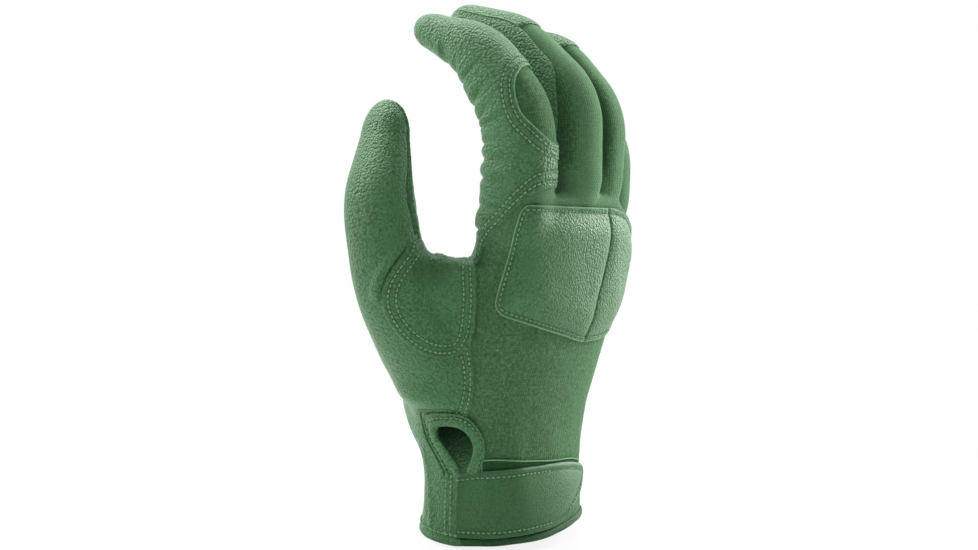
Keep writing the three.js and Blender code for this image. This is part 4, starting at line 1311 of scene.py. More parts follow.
class GloveSkin:
    """The glove's leather and knit panels, cut from one skin and split where it bends."""

    seam_z = [24, 30, 44, 49, 53.4, 59.1, 64.7, 70, 75.5, 83, 93.5, 105, 118]
    seam_angle = [-83, -82, -84.5, -83.1, -80.6, -79.8, -80.8, -83.1, -86.5, -87.2, -90.8, -98, -101]
    ulnar_angle = 88.0
    base_y = [-32, -28.3, -25.6, -23.4, -20.9, -16.2, -13.3, -10.3, -5.5, 0]
    base_z = [133, 132, 130.1, 127.4, 124.6, 118.7, 115.1, 111.4, 108, 104]
    side_seam = {"middle": ([-4, 20, 26, 30.7, 35, 39.2, 49.7, 57.7, 63.8, 70.3, 84],
                            [90, 86, 82, 74, 60, 52, 50, 47, 50, 54, 54]),
                 "ring": ([-4, 18, 26, 36, 46, 54, 76], [90, 86, 78, 64, 58, 58, 64]),
                 "little": ([-4, 12, 20, 28, 36, 60], [90, 86, 78, 66, 60, 64])}
    caps = {"middle": 57.0, "ring": 51.0, "little": 38.5}
    side_shade_strips = {"middle": (-72.0, -34.0, 0.4), "ring": (-44.0, -4.0, 1.0), "little": (-50.0, -10.0, 0.7)}
    window = [(2.6, 43.2), (-1.6, 42), (-6.1, 39.4), (-9.3, 36.9), (-10.8, 33.8), (-11.2, 30.7),
              (-10.6, 28), (-8.7, 25.9), (-6.1, 23.8), (-2.8, 21.8), (0.8, 20.2), (6, 19.5),
              (10.5, 21.5), (13.5, 26), (14.5, 32), (13.5, 38), (10, 42), (6, 43.5)]
    window_scale = 0.197
    hem_angle = [-180, -140, -124, -108, -96, -86, -78, -66, -54, -39, -12, 2, 19, 40, 70, 120, 180]
    hem_z = [1.0, 0.6, 0.3, 0.1, 0.1, 0.4, 1.2, 2.1, 2.6, 3.4, 4.0, 5.0, 6.2, 6.4, 5.4, 3.0, 1.0]
    slit = [(-99.6, 38.4), (-100.8, 41.0), (-98.8, 43.2), (-94.6, 44.3), (-90.2, 44.8), (-83, 43.7),
            (-75.6, 40.7), (-72.8, 37.6), (-73.6, 33.8), (-78.6, 28.8), (-80, 24), (-79.4, 12),
            (-78.8, -6), (-79.2, -6), (-80.6, 12), (-82.4, 24), (-85.6, 28.2), (-91.4, 32.5), (-96, 35.6)]
    slit_scale = 0.6
    thumb_line = ([76, 87, 91, 95, 101, 109, 115.6, 121, 126, 131],
                  [98, 98, 95, 95, 98, 104, 108, 106, 100, 84])
    rows = (1.8, 4.4)
    wrist = 63.0
    finger_radius = 10.3
    finger_scale = 0.185
    thumb_scale = 0.2
    fold_limit = 1.5
    fold_plans = {"index": ([-11, -3, 6.5, 13, 19.5, 28, 34.5, 42, 50, 57, 66], 1.9),
                  "middle": ([2, 10, 17, 24, 30, 36, 44, 52, 60, 67], 0.6),
                  "ring": ([2, 9, 16, 22, 28, 34, 42, 50, 57], 0.6),
                  "little": ([0, 7, 13, 19, 24, 30, 36, 44], 0.55),
                  "thumb": ([40, 50, 58, 64, 70, 84, 91, 97, 103], 0.35)}

    def __init__(self, body: GloveBody, zones: ZoneMap, wardrobe: Wardrobe, sewing: Sewing) -> None:
        """Builds the skin and its values.

        Args:
            body: Forms of the glove.
            zones: Zones of the glove.
            wardrobe: Finishes.
            sewing: Where its stitches go.
        """
        self.body, self.zones, self.wardrobe, self.sewing = body, zones, wardrobe, sewing
        self.skin = body.union()
        LOG.info("skin: %d points", len(self.skin.points))
        self.measure()

    def folds(self, at: dict[str, dict[str, np.ndarray]], hand: dict[str, np.ndarray],
              opening: np.ndarray) -> np.ndarray:
        """Depth of the wrinkles: folds across the digits' palm side, soft waves elsewhere."""
        points = self.skin.points
        depth = np.zeros(len(points))
        for name, (places, most) in self.fold_plans.items():
            rng = np.random.default_rng(len(name) + 7)
            s, angle, rho = at[name]["s"], at[name]["angle"], at[name]["rho"]
            near = ease(-rho, -1.35, -1.15)
            if name == "thumb":
                inner = ease(cosine(angle - 190), -0.2, 0.7)
            else:
                inner = ease(-cosine(angle), -0.35, 0.5)
            for place in places:
                sway, phase, shift = rng.uniform(-2.2, 2.2), rng.uniform(0, 6), rng.uniform(-0.8, 0.8)
                bow = sway * np.sin(np.radians(angle) + phase) + shift
                wide, deep = rng.uniform(1.0, 2.0), rng.uniform(0.45, 1.0) * most
                reach = ease(cosine(angle - 180 - rng.uniform(-40, 40)), -0.5, 0.6)
                off = s - place - bow
                depth += near * inner * reach * deep * (0.35 * bell(off, 0, 3.2) - bell(off, 0.0, wide))
        depth = np.where(depth < 0, self.fold_limit * np.tanh(depth / self.fold_limit), depth)
        # leather bunched where the index base meets the web
        bunch = bell(at["index"]["s"], -9, 5.5) * ease(cosine(at["index"]["angle"] + 112), 0.1, 0.9)
        depth += 2.6 * bunch * ease(-at["index"]["rho"], -1.5, -1.15)
        x, y, z = points.T
        depth += 0.16 * (ripple(x * 0.11 + z * 0.05, 3) * ripple(z * 0.09 - y * 0.06, 4))
        # slack above the strap, drawn in towards the wrist
        z, angle = hand["z"], hand["angle"]
        cuff = bell(z, 40, 12) * ease(-at["thumb"]["rho"], -9, -1.15)
        depth += 0.35 * cuff * ripple(angle * 0.14 + z * 0.05, 11)
        over = bell(angle, -99, 13)
        depth += over * (2.2 * bell(z, 55, 4.2) - 1.5 * bell(opening, 5.8, 1.3) * ease(z, 39, 45))
        low = ease(z, 3, 9) * (1 - ease(z, 28, 37))
        slope = angle + 0.5 * (z - 20)
        depth += low * (0.8 * bell(slope, -113, 4.0) - 0.6 * bell(slope, -121, 4.0))
        return depth + self.web_folds()

    def web_folds(self) -> np.ndarray:
        """Dish and puckers of the web's near side, and the leather that bulges over the patch's edge."""
        points, patch, normals = self.skin.points, CrotchPatch, self.skin.normals()
        across, z = points @ patch.across, points[:, 2]
        web = (z > 66) & (z < 116) & (points[:, 0] < -18)
        facing = ease(normals @ patch.outward, 0.0, 0.5) * web
        off = polygon_distance(rounded(patch.outline, 2), across, z)
        side = facing * ease(z, 88, 93) * (1 - ease(z, 107, 112)) * (1 - ease(across, -44, -38))
        depth = side * (1.4 * bell(off, -2.0, 1.4) - 0.7 * bell(off, -0.3, 0.6))
        dish = 1.3 * bell(across, -41, 6.5) * bell(z, 100, 4.2)
        depth -= facing * (dish - 0.6 * bell(across, -39, 8) * bell(z, 93.5, 2.6))
        rim = web * ease(normals[:, 2], 0.1, 0.7) * (z > 97)
        rim = rim * ease(across, -53, -48) * (1 - ease(across, -31, -27))
        return depth + 0.7 * rim * ripple(across * 0.5, 17)

    def panels(self, at: dict[str, dict[str, np.ndarray]],
               hand: dict[str, np.ndarray]) -> tuple[np.ndarray, np.ndarray]:
        """Which panel each point is in.

        Args:
            at: Digit coordinates.
            hand: Hand coordinates.
        Returns:
            Millimetres into the knit, negative in the leather, and a mask of the seams sewn with two rows.
        """
        p, z, angle = self.skin.points, hand["z"], hand["angle"]
        mm = through(self.body.hand.z, self.body.hand.half, z) * math.pi / 180
        seam = (angle - through(self.seam_z, self.seam_angle, z)) * mm
        ulnar = (self.ulnar_angle - angle) * mm
        edge = through(self.base_y, self.base_z, p[:, 1]) + 0.12 * (p[:, 0] + 42)
        base = (edge - z) * 0.75 + 40 * ease(p[:, 0], -24.5, -19)
        knit = np.minimum(np.minimum(seam, ulnar), base)
        sewn = (seam < ulnar) & (z > 44)
        names = list(self.zones.cuts)
        rho = np.stack([np.where(at[n]["s"] > -9, at[n]["rho"], 9) for n in names])
        nearest = rho.argmin(0)
        for k, name in enumerate(names):
            mine = (nearest == k) & (rho[k] < 1.6)
            s, a = at[name]["s"], at[name]["angle"]
            if name == "index":
                pane = polygon_distance(rounded(self.window, 1), a * self.window_scale, s)
                knit = np.where(mine, np.maximum(knit, pane), knit)
                sewn |= mine & (pane > -7) & (s > 15)
                continue
            side = (through(*self.side_seam[name], s) - np.abs(a)) * self.finger_radius * math.pi / 180
            own = np.minimum(side, self.caps[name] - s)
            share = ease(s, -6, 4) * mine
            knit = knit * (1 - share) + own * share
            sewn &= ~(mine & (s > -2))
        return knit, sewn

    def measure(self) -> None:
        """Writes the zone values, the panel value, the slit, the hem and the cloth chart on the skin."""
        skin = self.skin
        at = {d.name: d.locate(skin.points) for d in self.body.digits}
        hand = self.body.hand.locate(skin.points)
        knit, sewn = self.panels(at, hand)
        fields = self.zones.values(skin.points, at)
        fields["knit"], fields["sewn"] = knit, sewn.astype(float)
        z, angle = hand["z"], hand["angle"]
        low = (z < 62) & (angle > -136) & (angle < -50)
        opening = np.full(len(z), 30.0)
        outline = [(a * self.slit_scale, h) for a, h in self.slit]
        opening[low] = -polygon_distance(rounded(outline, 2), angle[low] * self.slit_scale, z[low])
        fields["opening"] = opening
        fields["hem"] = z - through(self.hem_angle, self.hem_z, angle) - 0.6
        u, v = angle * math.pi / 180 * through(self.body.hand.z, self.body.hand.half, z) * 0.9, z.copy()
        # leather grain mirrors at the palm's middle, so that no line shows where the chart wraps
        grain = np.abs(u)
        # slack also paints the leather paler on the digits' palm side and above the strap, a painted light
        slack = 0.25 * bell(z, 52, 16) * ease(-angle, 84, 96) * ease(angle, -175, -140)
        for digit in self.body.digits:
            s, a = at[digit.name]["s"], at[digit.name]["angle"]
            inner = ease(-cosine(a), -0.6, 0.5) * (at[digit.name]["rho"] < 1.3)
            slack = np.maximum(slack, inner * ease(s, -14, 2) * (0.25 if digit is self.body.thumb else 1.0))
            if digit is self.body.thumb:
                continue
            share = ease(s, -6, 8) * (at[digit.name]["rho"] < 1.4)
            root_x, _, root_z = digit.size.root
            u = u * (1 - share) + share * (root_x + a * self.finger_scale)
            grain = grain * (1 - share) + share * (root_x + np.abs(a) * self.finger_scale)
            v = v * (1 - share) + share * (root_z + s)
        fields["cloth"], fields["grain"] = np.stack([u, v, slack], 1), np.stack([grain, v, slack], 1)
        fields["angle"], fields["height"] = angle, z
        for digit in self.body.digits:
            for key in ("s", "angle", "rho"):
                fields[f"{digit.name}_{key}"] = at[digit.name][key]
        skin.points = skin.points + skin.normals() * self.folds(at, hand, opening)[:, None]
        skin.fields = fields

    def dressed(self) -> tuple[Surface, Surface]:
        """Leather lifted over the knit with turned edges, and the knit that runs in under it."""
        skin = self.skin
        skin.fields["normal"] = skin.normals()
        leather = skin.clip(-skin.fields["knit"])
        edge = -leather.fields["knit"]
        lift = 0.2 + (LEATHER_LIFT - 0.2) * turned(edge, 1.1)
        groove = sum(bell(edge, row, 0.55) for row in self.rows) * leather.fields["sewn"]
        lift -= 0.22 * groove
        lift += 0.18 * bell(edge, sum(self.rows) / 2, 0.9) * leather.fields["sewn"]
        seam = self.thumb_seam(leather)
        lift -= 1.5 * bell(seam, 0, 0.65) - 0.5 * bell(seam, 1.6, 0.7)
        # the stitch rows and the thumb's seam get painted shade in their grooves
        leather.fields["groove"] = groove + bell(seam, 0, 0.65)
        leather.points = leather.points + leather.fields["normal"] * lift[:, None]
        leather.fields["normal"] = leather.normals()
        leather.fields["cloth"] = leather.fields["grain"]
        knit = skin.clip(skin.fields["knit"] + 1.2)
        knit.points = knit.points - knit.fields["normal"] * 0.12
        knit.fields["cloth"] = knit.fields["cloth"] * (1, 1, 0)
        # the knit is painted paler up the fingers, a painted light
        tone = ease(knit.points[:, 2], 102, 134) * (1 - ease(knit.fields["index_root"], -3, 3))
        # the side strips between the fingers are set to take painted shade
        for name, (dark, pale, most) in self.side_shade_strips.items():
            own = ease(knit.fields[f"{name}_s"], -4, 8) * (knit.fields[f"{name}_rho"] < 1.4)
            strip = own * (1 - ease(knit.fields[f"{name}_angle"], dark, pale))
            tone = tone * (1 - strip) - strip * most
        knit.fields["cloth"][:, 2] = tone
        return leather, knit

    def thumb_seam(self, leather: Surface) -> np.ndarray:
        """Distance from the seam up the thumb's inner side, far off where there is none."""
        s = leather.fields["thumb_s"]
        off = (leather.fields["thumb_angle"] - through(*self.thumb_line, s)) * self.thumb_scale
        near = (leather.fields["thumb_rho"] < 1.35) & (s > 76) & (s < 131) & (np.abs(off) < 8)
        return np.where(near, off, 20.0)

    def build(self) -> None:
        """Makes the panels, their edges and their stitches."""
        self.leather, self.knit = self.dressed()
        self.sew()
        slots = {"leather": (self.leather, self.wardrobe.leather, Slot.LEATHER, SHELL),
                 "knit": (self.knit, self.wardrobe.knit, Slot.KNIT, KNIT_SHELL)}
        for kind, (surface, finish, slot, thick) in slots.items():
            open_cut = surface.clip(surface.fields["opening"])
            whole = open_cut.clip(open_cut.fields["hem"])
            for zone, part in self.zones.split(whole).items():
                for place, cut in self.shared_out(zone, kind, part).items():
                    piece = sheet_piece(f"{place}_{kind}_panel", cut, thick, finish)
                    stands = self.stands_for(zone, kind)
                    if stands:
                        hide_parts(*stands)
                    self.zones.zones[zone].carry(piece)
                    LOG.info("%s: %d faces", piece.name, len(piece.data.polygons))

    def shared_out(self, zone: str, kind: str, part: Surface) -> dict[str, Surface]:
        """A zone's panel, the palm's in two parts so that neither is too heavy."""
        if (zone, kind) != ("hand", "leather"):
            return {zone: part}
        above = part.fields["height"] - self.wrist
        return {"hand": part.clip(above), "cuff": part.clip(-above)}

    @staticmethod
    def stands_for(zone: str, kind: str) -> list[str]:
        """CAD nodes that a panel of a zone replaces."""
        whole = {"hand": {"leather": ["palm_panel"], "knit": ["back_panel"]},
                 "thumb_low": {"leather": ["thumb_knuckle_crease", "thumb_outer"]},
                 "thumb_high": {"leather": ["thumb_inner", "thumb_tip", "thumb_tip_crease"]}}
        if zone in whole:
            return whole[zone].get(kind, [])
        finger, place = zone.rsplit("_", 1)
        table = {("root", "leather"): ["knuckle_crease", "proximal_palm"],
                 ("root", "knit"): ["proximal_back"],
                 ("mid", "leather"): ["middle_crease", "middle_palm"], ("mid", "knit"): ["middle_back"],
                 ("end", "leather"): ["tip", "tip_crease"]}
        if finger == "index" and place == "root":
            table[("root", "leather")] = ["knuckle_crease", "proximal_palm", "proximal_back"]
        return [f"{finger}_{n}" for n in table.get((place, kind), [])]

    def sew(self) -> None:
        """Lays the double rows along the leather's edges, and the thin turned edge beside them."""
        leather = self.leather
        edge, sewn = -leather.fields["knit"], leather.fields["sewn"] > 0.5
        shown = sewn & (leather.fields["opening"] > 1.5) & (leather.fields["hem"] > 2)
        for row in self.rows:
            for chain in leather.lines(edge - row, shown, 12):
                self.sewing.row(chain)
        for chain in leather.lines(edge - 0.3, shown & (leather.fields["index_s"] > 15), 20):
            self.sewing.cord(chain, 0.28, "cut")
        for name in self.side_seam:
            s, turn = leather.fields[f"{name}_s"], leather.fields[f"{name}_angle"]
            side = np.abs(turn) - through(*self.side_seam[name], s)
            near = (s > self.caps[name] + 1) & (leather.fields[f"{name}_rho"] < 1.3) & (np.abs(side) < 25)
            for chain in leather.lines(side, near & (s < self.caps[name] + 28), 20):
                self.sewing.cord(chain, 0.3, "cut")


class CrotchPatch:
    """The second layer of leather over the web between thumb and index."""

    outline = [(-48.5, 109), (-52.4, 104), (-55, 98.8), (-56.4, 92.8), (-55.4, 86.3), (-51.4, 79.9),
               (-45.6, 74.4), (-38.4, 70.6), (-31.5, 69.8), (-25.8, 71.9), (-22.9, 76.8), (-22.2, 82.8),
               (-22.9, 93.5), (-24.6, 105), (-25.2, 128), (-46, 128)]
    across = np.array([0.685, -0.728, 0.0])
    outward = np.array([-0.728, -0.685, 0.0])
    lift = 0.95
    rows = (2.1, 4.6)
    thumb_end = 80.0

    def __init__(self, skin: GloveSkin) -> None:
        """Takes the leather that the patch lies on.

        Args:
            skin: Panels of the glove.
        """
        self.skin = skin

    def build(self) -> None:
        """Cuts the patch from the skin, lifts it and sews its two rows."""
        leather = self.skin.skin
        x, y, z = leather.points.T
        near = (z > 60) & (z < 122) & (x < -22) & (y > -14)
        area = leather.kept(near[leather.faces].all(1))
        u, v = area.points @ self.across, area.points[:, 2]
        inside = polygon_distance(rounded(self.outline, 2), u, v)
        facing = area.fields["normal"] @ self.outward
        inside = np.minimum(inside, self.thumb_end - area.fields["thumb_s"])
        inside = np.minimum(inside, 2 - area.fields["index_root"])
        inside = np.minimum(inside, (facing + 0.4) * 9)
        area.fields["inside"], area.fields["facing"] = inside, facing
        patch = area.clip(inside)
        depth = patch.fields["inside"]
        thins = ease(self.thumb_end - patch.fields["thumb_s"], 0, 8)
        lift = LEATHER_LIFT + self.lift * turned(depth, 1.0) * thins
        groove = sum(bell(depth, row, 0.55) for row in self.rows)
        lift -= 0.25 * groove
        patch.fields["groove"] = groove * ease(patch.fields["facing"], 0.1, 0.3)
        patch.points = patch.points + patch.fields["normal"] * lift[:, None]
        patch.fields["normal"] = patch.normals()
        # the hollow of the web is painted dark through the slack value: painted shade
        hollow = bell(patch.points[:, 2], 101.5, 4.8) * bell(patch.points @ self.across, -39, 7.5)
        patch.fields["cloth"][:, 2] = ease(depth, 3.5, 7) * hollow
        piece = sheet_piece("crotch_patch_leather", patch, 1.6, self.skin.wardrobe.patch)
        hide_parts("thumb_crotch_patch")
        self.skin.zones.zones["thumb_low"].carry(piece)
        for row in self.rows:
            for chain in patch.lines(depth - row, patch.fields["facing"] > 0.2, 20):
                self.skin.sewing.row(chain, zone="thumb_low")
        LOG.info("%s: %d faces", piece.name, len(piece.data.polygons))


class SkinProbe:
    """Finds how high the skin stands over the hand's plain form, so that pieces lie on it."""

    above = 14.0
    reach = 22.0
    rounds = 10

    def __init__(self, hand: HandForm, *layers: Surface) -> None:
        """Takes the layers that pieces lie on.

        Args:
            hand: The plain form.
            layers: Surfaces of the panels.
        """
        self.hand = hand
        self.trees = [BVHTree.FromPolygons(s.points.tolist(), s.faces.tolist()) for s in layers]

    def height(self, z: np.ndarray, angle: np.ndarray, shape: tuple[int, int]) -> np.ndarray:
        """Evened height of the skin over the form, for a grid of hand coordinates."""
        start = self.hand.point(z, angle, self.above)
        way = self.hand.point(z, angle) - start
        full, found = np.linalg.norm(way, axis=1), np.zeros(len(start))
        for k, (place, along) in enumerate(zip(start.tolist(), way.tolist())):
            hits = [tree.ray_cast(Vector(place), Vector(along), self.reach)[3] for tree in self.trees]
            near = min((h for h in hits if h is not None), default=full[k])
            found[k] = self.above * (1 - near / full[k])
        grid = found.reshape(shape)
        for _ in range(self.rounds):
            padded = np.pad(grid, 1, mode="edge")
            even = (padded[:-2, 1:-1] + padded[2:, 1:-1] + padded[1:-1, :-2] + padded[1:-1, 2:]) / 4
            grid = np.maximum(grid, 0.5 * grid + 0.5 * even)
        return grid.ravel()


# Knuckle guard


class GuardCell(Enum):
    """The two padded cells of the knuckle guard."""

    RADIAL = "radial"
    ULNAR = "ulnar"


@dataclass
class KnuckleGuard:
    """Two foam-filled leather cells over the knuckles, parted by a sewn crease."""

    body: GloveBody
    wardrobe: Wardrobe
    sewing: Sewing
    probe: SkinProbe
    left_z: tuple[float, ...] = (88, 93, 104, 118, 126)
    left: tuple[float, ...] = (-74.5, -74.8, -73.2, -71.5, -70)
    crease_z: tuple[float, ...] = (76, 83, 95, 104, 112, 120, 128)
    crease: tuple[float, ...] = (0.2, 0.7, 2.0, 4.0, 5.0, 4.4, 3.0)
    right: float = 64.0
    top_angle: tuple[float, ...] = (-80, 5, 20, 36, 50, 66)
    top_z: tuple[float, ...] = (127.2, 127.3, 125.8, 121.5, 117, 111.5)
    low_angle: tuple[float, ...] = (-78, -71, -64.4, -46.8, -32.6, -16.2, 2.4, 20, 40, 66)
    low_z: tuple[float, ...] = (88.6, 88, 87, 84.9, 82.9, 80.4, 77.4, 78, 82, 90)
    row: float = 1.8
    flange: float = 1.1
    puffs: tuple[float, float] = (3.0, 1.9)
    puff_from: float = 2.2
    puff_over: float = 9.0
    crease_over: float = 7.5
    slope: tuple[float, float] = (1.0, 6.5)
    start_z: float = 74.5
    columns: tuple[int, int] = (110, 90)
    step: float = 0.7

    def __post_init__(self) -> None:
        """Measures the curve of the knuckles, so that distances on the guard are real."""
        self.angles = np.linspace(-100, 100, 401)
        ring = self.body.hand.point(104.0, self.angles, 1.5)
        self.arcs = np.concatenate([[0], np.cumsum(np.linalg.norm(np.diff(ring, axis=0), axis=1))])

    def arc(self, angle: np.ndarray | float) -> np.ndarray:
        """Distance round the knuckles of an angle."""
        return np.interp(angle, self.angles, self.arcs)

    def below(self, angles: tuple[float, ...], heights: tuple[float, ...], angle: np.ndarray,
              v: np.ndarray) -> np.ndarray:
        """Distance below an edge, its slant taken in."""
        lean = np.gradient(through(angles, heights, self.angles), self.arcs)
        slant = 1 / np.sqrt(1 + np.interp(angle, self.angles, lean) ** 2)
        return (through(angles, heights, angle) - v) * slant

    def cell(self, which: GuardCell) -> Surface:
        """The crowned outer face of a cell.

        Args:
            which: The cell.
        Returns:
            A surface with its inner face and its distance from the outline as fields.
        """
        radial = which is GuardCell.RADIAL
        v = np.arange(self.start_z, self.top_z[0] + self.step, self.step)
        count = self.columns[0 if radial else 1]
        share = np.linspace(0, 1, count)
        left, mid = through(self.left_z, self.left, v), through(self.crease_z, self.crease, v)
        first, last = (left, mid) if radial else (mid, np.full(len(v), self.right))
        first, last = self.arc(first)[:, None], self.arc(last)[:, None]
        uu, vv = first + (last - first) * share, np.repeat(v[:, None], count, 1)
        away, d_crease = (uu - first, last - uu) if radial else (last - uu, uu - first)
        uu, vv, away, d_crease = uu.ravel(), vv.ravel(), away.ravel(), d_crease.ravel()
        angle = np.interp(uu, self.arcs, self.angles)
        d_top = self.below(self.top_angle, self.top_z, angle, vv)
        d_low = -self.below(self.low_angle, self.low_z, angle, vv)
        edge = np.minimum(corner_distance(away, d_top), corner_distance(away, d_low))
        t = np.clip((edge - self.puff_from) / self.puff_over, 0, 1)
        crown = np.sin(t * math.pi / 2)
        puff = self.puffs[0 if radial else 1] * crown
        height = self.flange + puff * (0.12 + 0.88 * turned(d_crease, self.crease_over))
        groove = bell(edge, self.row, 0.5)
        height -= 0.3 * groove
        if radial:
            height -= self.slope[0] * np.clip(1 - away / self.slope[1], 0, 1) ** 2
            puckers = np.sin(vv * 2.6 + 1.6 * np.sin(uu * 0.5 + vv * 0.21))
            height += 0.12 * puckers * bell(away, 5.0, 2.2)
        height += 0.16 * ripple(uu * 0.22 + vv * 0.08, 5) * t
        height *= turned(edge, 0.9) * 0.85 + 0.15
        height = np.where(d_crease < 1.2, height * (0.55 + 0.45 * d_crease / 1.2), height)
        hand = self.body.hand
        base = 0.2 + self.probe.height(vv, angle, (len(v), count))
        made = grid_surface(hand.point(vv, angle, base + height).reshape(len(v), count, 3))
        made.fields = {"edge": edge, "crease": d_crease, "below": hand.point(vv, angle, base),
                       "groove": groove}
        made = made.clip(np.minimum(edge, d_crease + 0.005))
        made.fields["normal"] = made.normals()
        return made

    def build(self) -> None:
        """Makes both cells with their edge cords and stitch rows."""
        for which in GuardCell:
            outer = self.cell(which)
            piece = sheet_piece(f"guard_{which.value}_cell", outer, 1.0, self.wardrobe.pad)
            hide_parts(f"knuckle_pad_{which.value}", f"knuckle_foam_{which.value}")
            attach(piece, "hand")
            shown = outer.fields["crease"] > 0.8
            for chain in outer.lines(outer.fields["edge"] - self.row, shown, 12):
                self.sewing.row(chain, zone="hand")
            for chain in outer.lines(outer.fields["edge"] - 0.4, shown, 12):
                self.sewing.cord(chain, 0.24, "cut", zone="hand")
            LOG.info("%s: %d faces", piece.name, len(piece.data.polygons))


# Wrist


@dataclass
class WristClosure:
    """Hem, rolled slit edge, loop patch and the strap that closes the cuff."""

    skin: GloveSkin
    wardrobe: Wardrobe
    sewing: Sewing
    probe: SkinProbe
    loop_angle: tuple[float, ...] = (-67, -49, -29, -8, 12, 25)
    loop_top: tuple[float, ...] = (33.6, 34.1, 33.5, 32.4, 31.0, 29.2)
    sewn_at: tuple[float, float] = (-83.2, -86.8)
    folds_at: tuple[float, float] = (-83.0, -48.0)
    peels_at: tuple[float, float] = (-6.5, 2.5)
    tip_cut: float = -9.0
    row: float = 2.3
    hem_turn: tuple[float, float] = (-78.7, 280.7)
    hem_palm_from: float = 92.0
    hem_sewn_from: float = 176.0
    slit_tube: tuple[float, float] = (1.0, 1.9)
    hem_tube: tuple[float, float] = (0.85, 1.7)
    scale: float = 0.6
    grid: tuple[int, int] = (60, 210)
    top_angle: tuple[float, ...] = (-92, -89, -69, -49, -29, -8, 8, 20, 32)
    top_z: tuple[float, ...] = (26.8, 27.0, 29.4, 30.6, 31.4, 31.4, 30.2, 28.6, 26.6)
    low_angle: tuple[float, ...] = (-92, -85, -75, -56, -30, -15, -6, 0, 6.5, 14.5, 22, 27, 32)
    low_z: tuple[float, ...] = (3.4, 3.8, 4.5, 5.7, 7.1, 7.7, 8.2, 9.2, 12.1, 15.5, 19, 22.5, 27.5)

    def strap_sheet(self, gap_low: float, gap_top: float) -> Surface:
        """The strap's outline on a sheet, with the distance from its edge as a field."""
        hand = self.skin.body.hand
        a = np.linspace(self.sewn_at[1] - 0.2, 34, self.grid[1])
        z = np.linspace(3.0, 32, self.grid[0])
        aa, zz = (m.ravel() for m in np.meshgrid(a, z))

        def from_edge(angles: tuple[float, ...], heights: tuple[float, ...]) -> np.ndarray:
            """Distance below an edge, its slant taken in."""
            lean = (through(angles, heights, aa + 0.5) - through(angles, heights, aa - 0.5)) / self.scale
            return (through(angles, heights, aa) - zz) / np.sqrt(1 + lean**2)

        d_top, d_low = from_edge(self.top_angle, self.top_z), -from_edge(self.low_angle, self.low_z)
        free = corner_distance(d_top, d_low)
        edge = np.minimum(free, (aa - through([3.7, 27], self.sewn_at, zz)) * self.scale)
        rise = self.probe.height(zz, aa, self.grid) + 0.15 + 0.85 * ease(aa, -74, -60)
        crown = 0.35 * ease(free, 2.4, 7) - 0.28 * bell(free, self.row, 0.6)
        thick = gap_top + crown + 0.14 * ripple(aa * 0.12 + zz * 0.05, 21)
        offset = rise + gap_low + (thick - gap_low) * (0.3 + 0.7 * turned(edge, 1.2))
        made = grid_surface(hand.point(zz, aa, offset).reshape(*self.grid, 3))
        made.fields = {"below": hand.point(zz, aa, rise + gap_low), "edge": edge, "free": free, "angle": aa,
                       "groove": bell(free, self.row, 0.5)}
        made.fields["normal"] = made.normals()
        made.fields["cloth"] = np.stack([aa * self.scale, zz, 0 * aa], 1)
        return made.clip(made.fields["edge"])

    def build(self) -> None:
        """Makes all pieces of the closure."""
        self.hem()
        self.slit_edge()
        self.loop()
        self.strap()
        self.anchor()

    def hem(self) -> None:
        """Turned hem round the opening, its ends at the slit."""
        hand = self.skin.body.hand
        angles = np.linspace(*self.hem_turn, 260)
        turn = np.where(angles > 180, angles - 360, angles)
        z = through(self.skin.hem_angle, self.skin.hem_z, turn) + 1.45
        place, out = hand.point(z, turn, 0.0), hand.normal(z, turn)
        chain = np.concatenate([place, out], 1)
        # the back's hem takes the dark finish, a painted shade
        back = angles < self.hem_palm_from
        for name, part, finish in (("cuff_hem_back", chain[back], self.wardrobe.hem),
                                   ("cuff_hem_palm", chain[~back], self.wardrobe.leather)):
            piece = smooth_piece(name, *tube_mesh(part, self.hem_tube[0], 14, self.hem_tube[1]), finish)
            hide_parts("hem_binding")
            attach(piece, "hand")
        row = np.concatenate([hand.point(z + 2.6, turn, 0.8), out], 1)
        self.sewing.row(row[angles > self.hem_sewn_from], zone="hand")

    def slit_edge(self) -> None:
        """Rolled leather edge round the slit, with a flat ridge and a stitch row beside it."""
        skin = self.skin.skin
        opening = skin.fields["opening"]
        turn = skin.fields["angle"]
        shown = (skin.fields["height"] > np.where(turn > -82, 28.2, 25.0)) & (opening < 12)
        parts = []
        for chain in skin.lines(opening - 1.3, shown, 30):
            even = resample(smoothed(chain, 30), 0.9)
            even[:, :3] += even[:, 3:6] * 0.6
            parts.append(tube_mesh(even, self.slit_tube[0], 12, self.slit_tube[1]))
        piece = smooth_piece("slit_rolled_edge", *joined(parts), self.wardrobe.binding)
        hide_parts("slit_binding")
        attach(piece, "hand")
        far = shown & (turn < -91)
        for at, rise, kept in ((3.2, 0.85, shown), (4.3, 0.7, shown), (6.2, 0.8, far)):
            for chain in skin.lines(opening - at, kept, 29):
                lifted = smoothed(chain, 30)
                lifted[:, :3] += lifted[:, 3:6] * rise
                if at < 4:
                    self.sewing.row(lifted, zone="hand")
                else:
                    self.sewing.cord(lifted, 0.6, "edge", zone="hand")
        LOG.info("%s: %d faces", piece.name, len(piece.data.polygons))

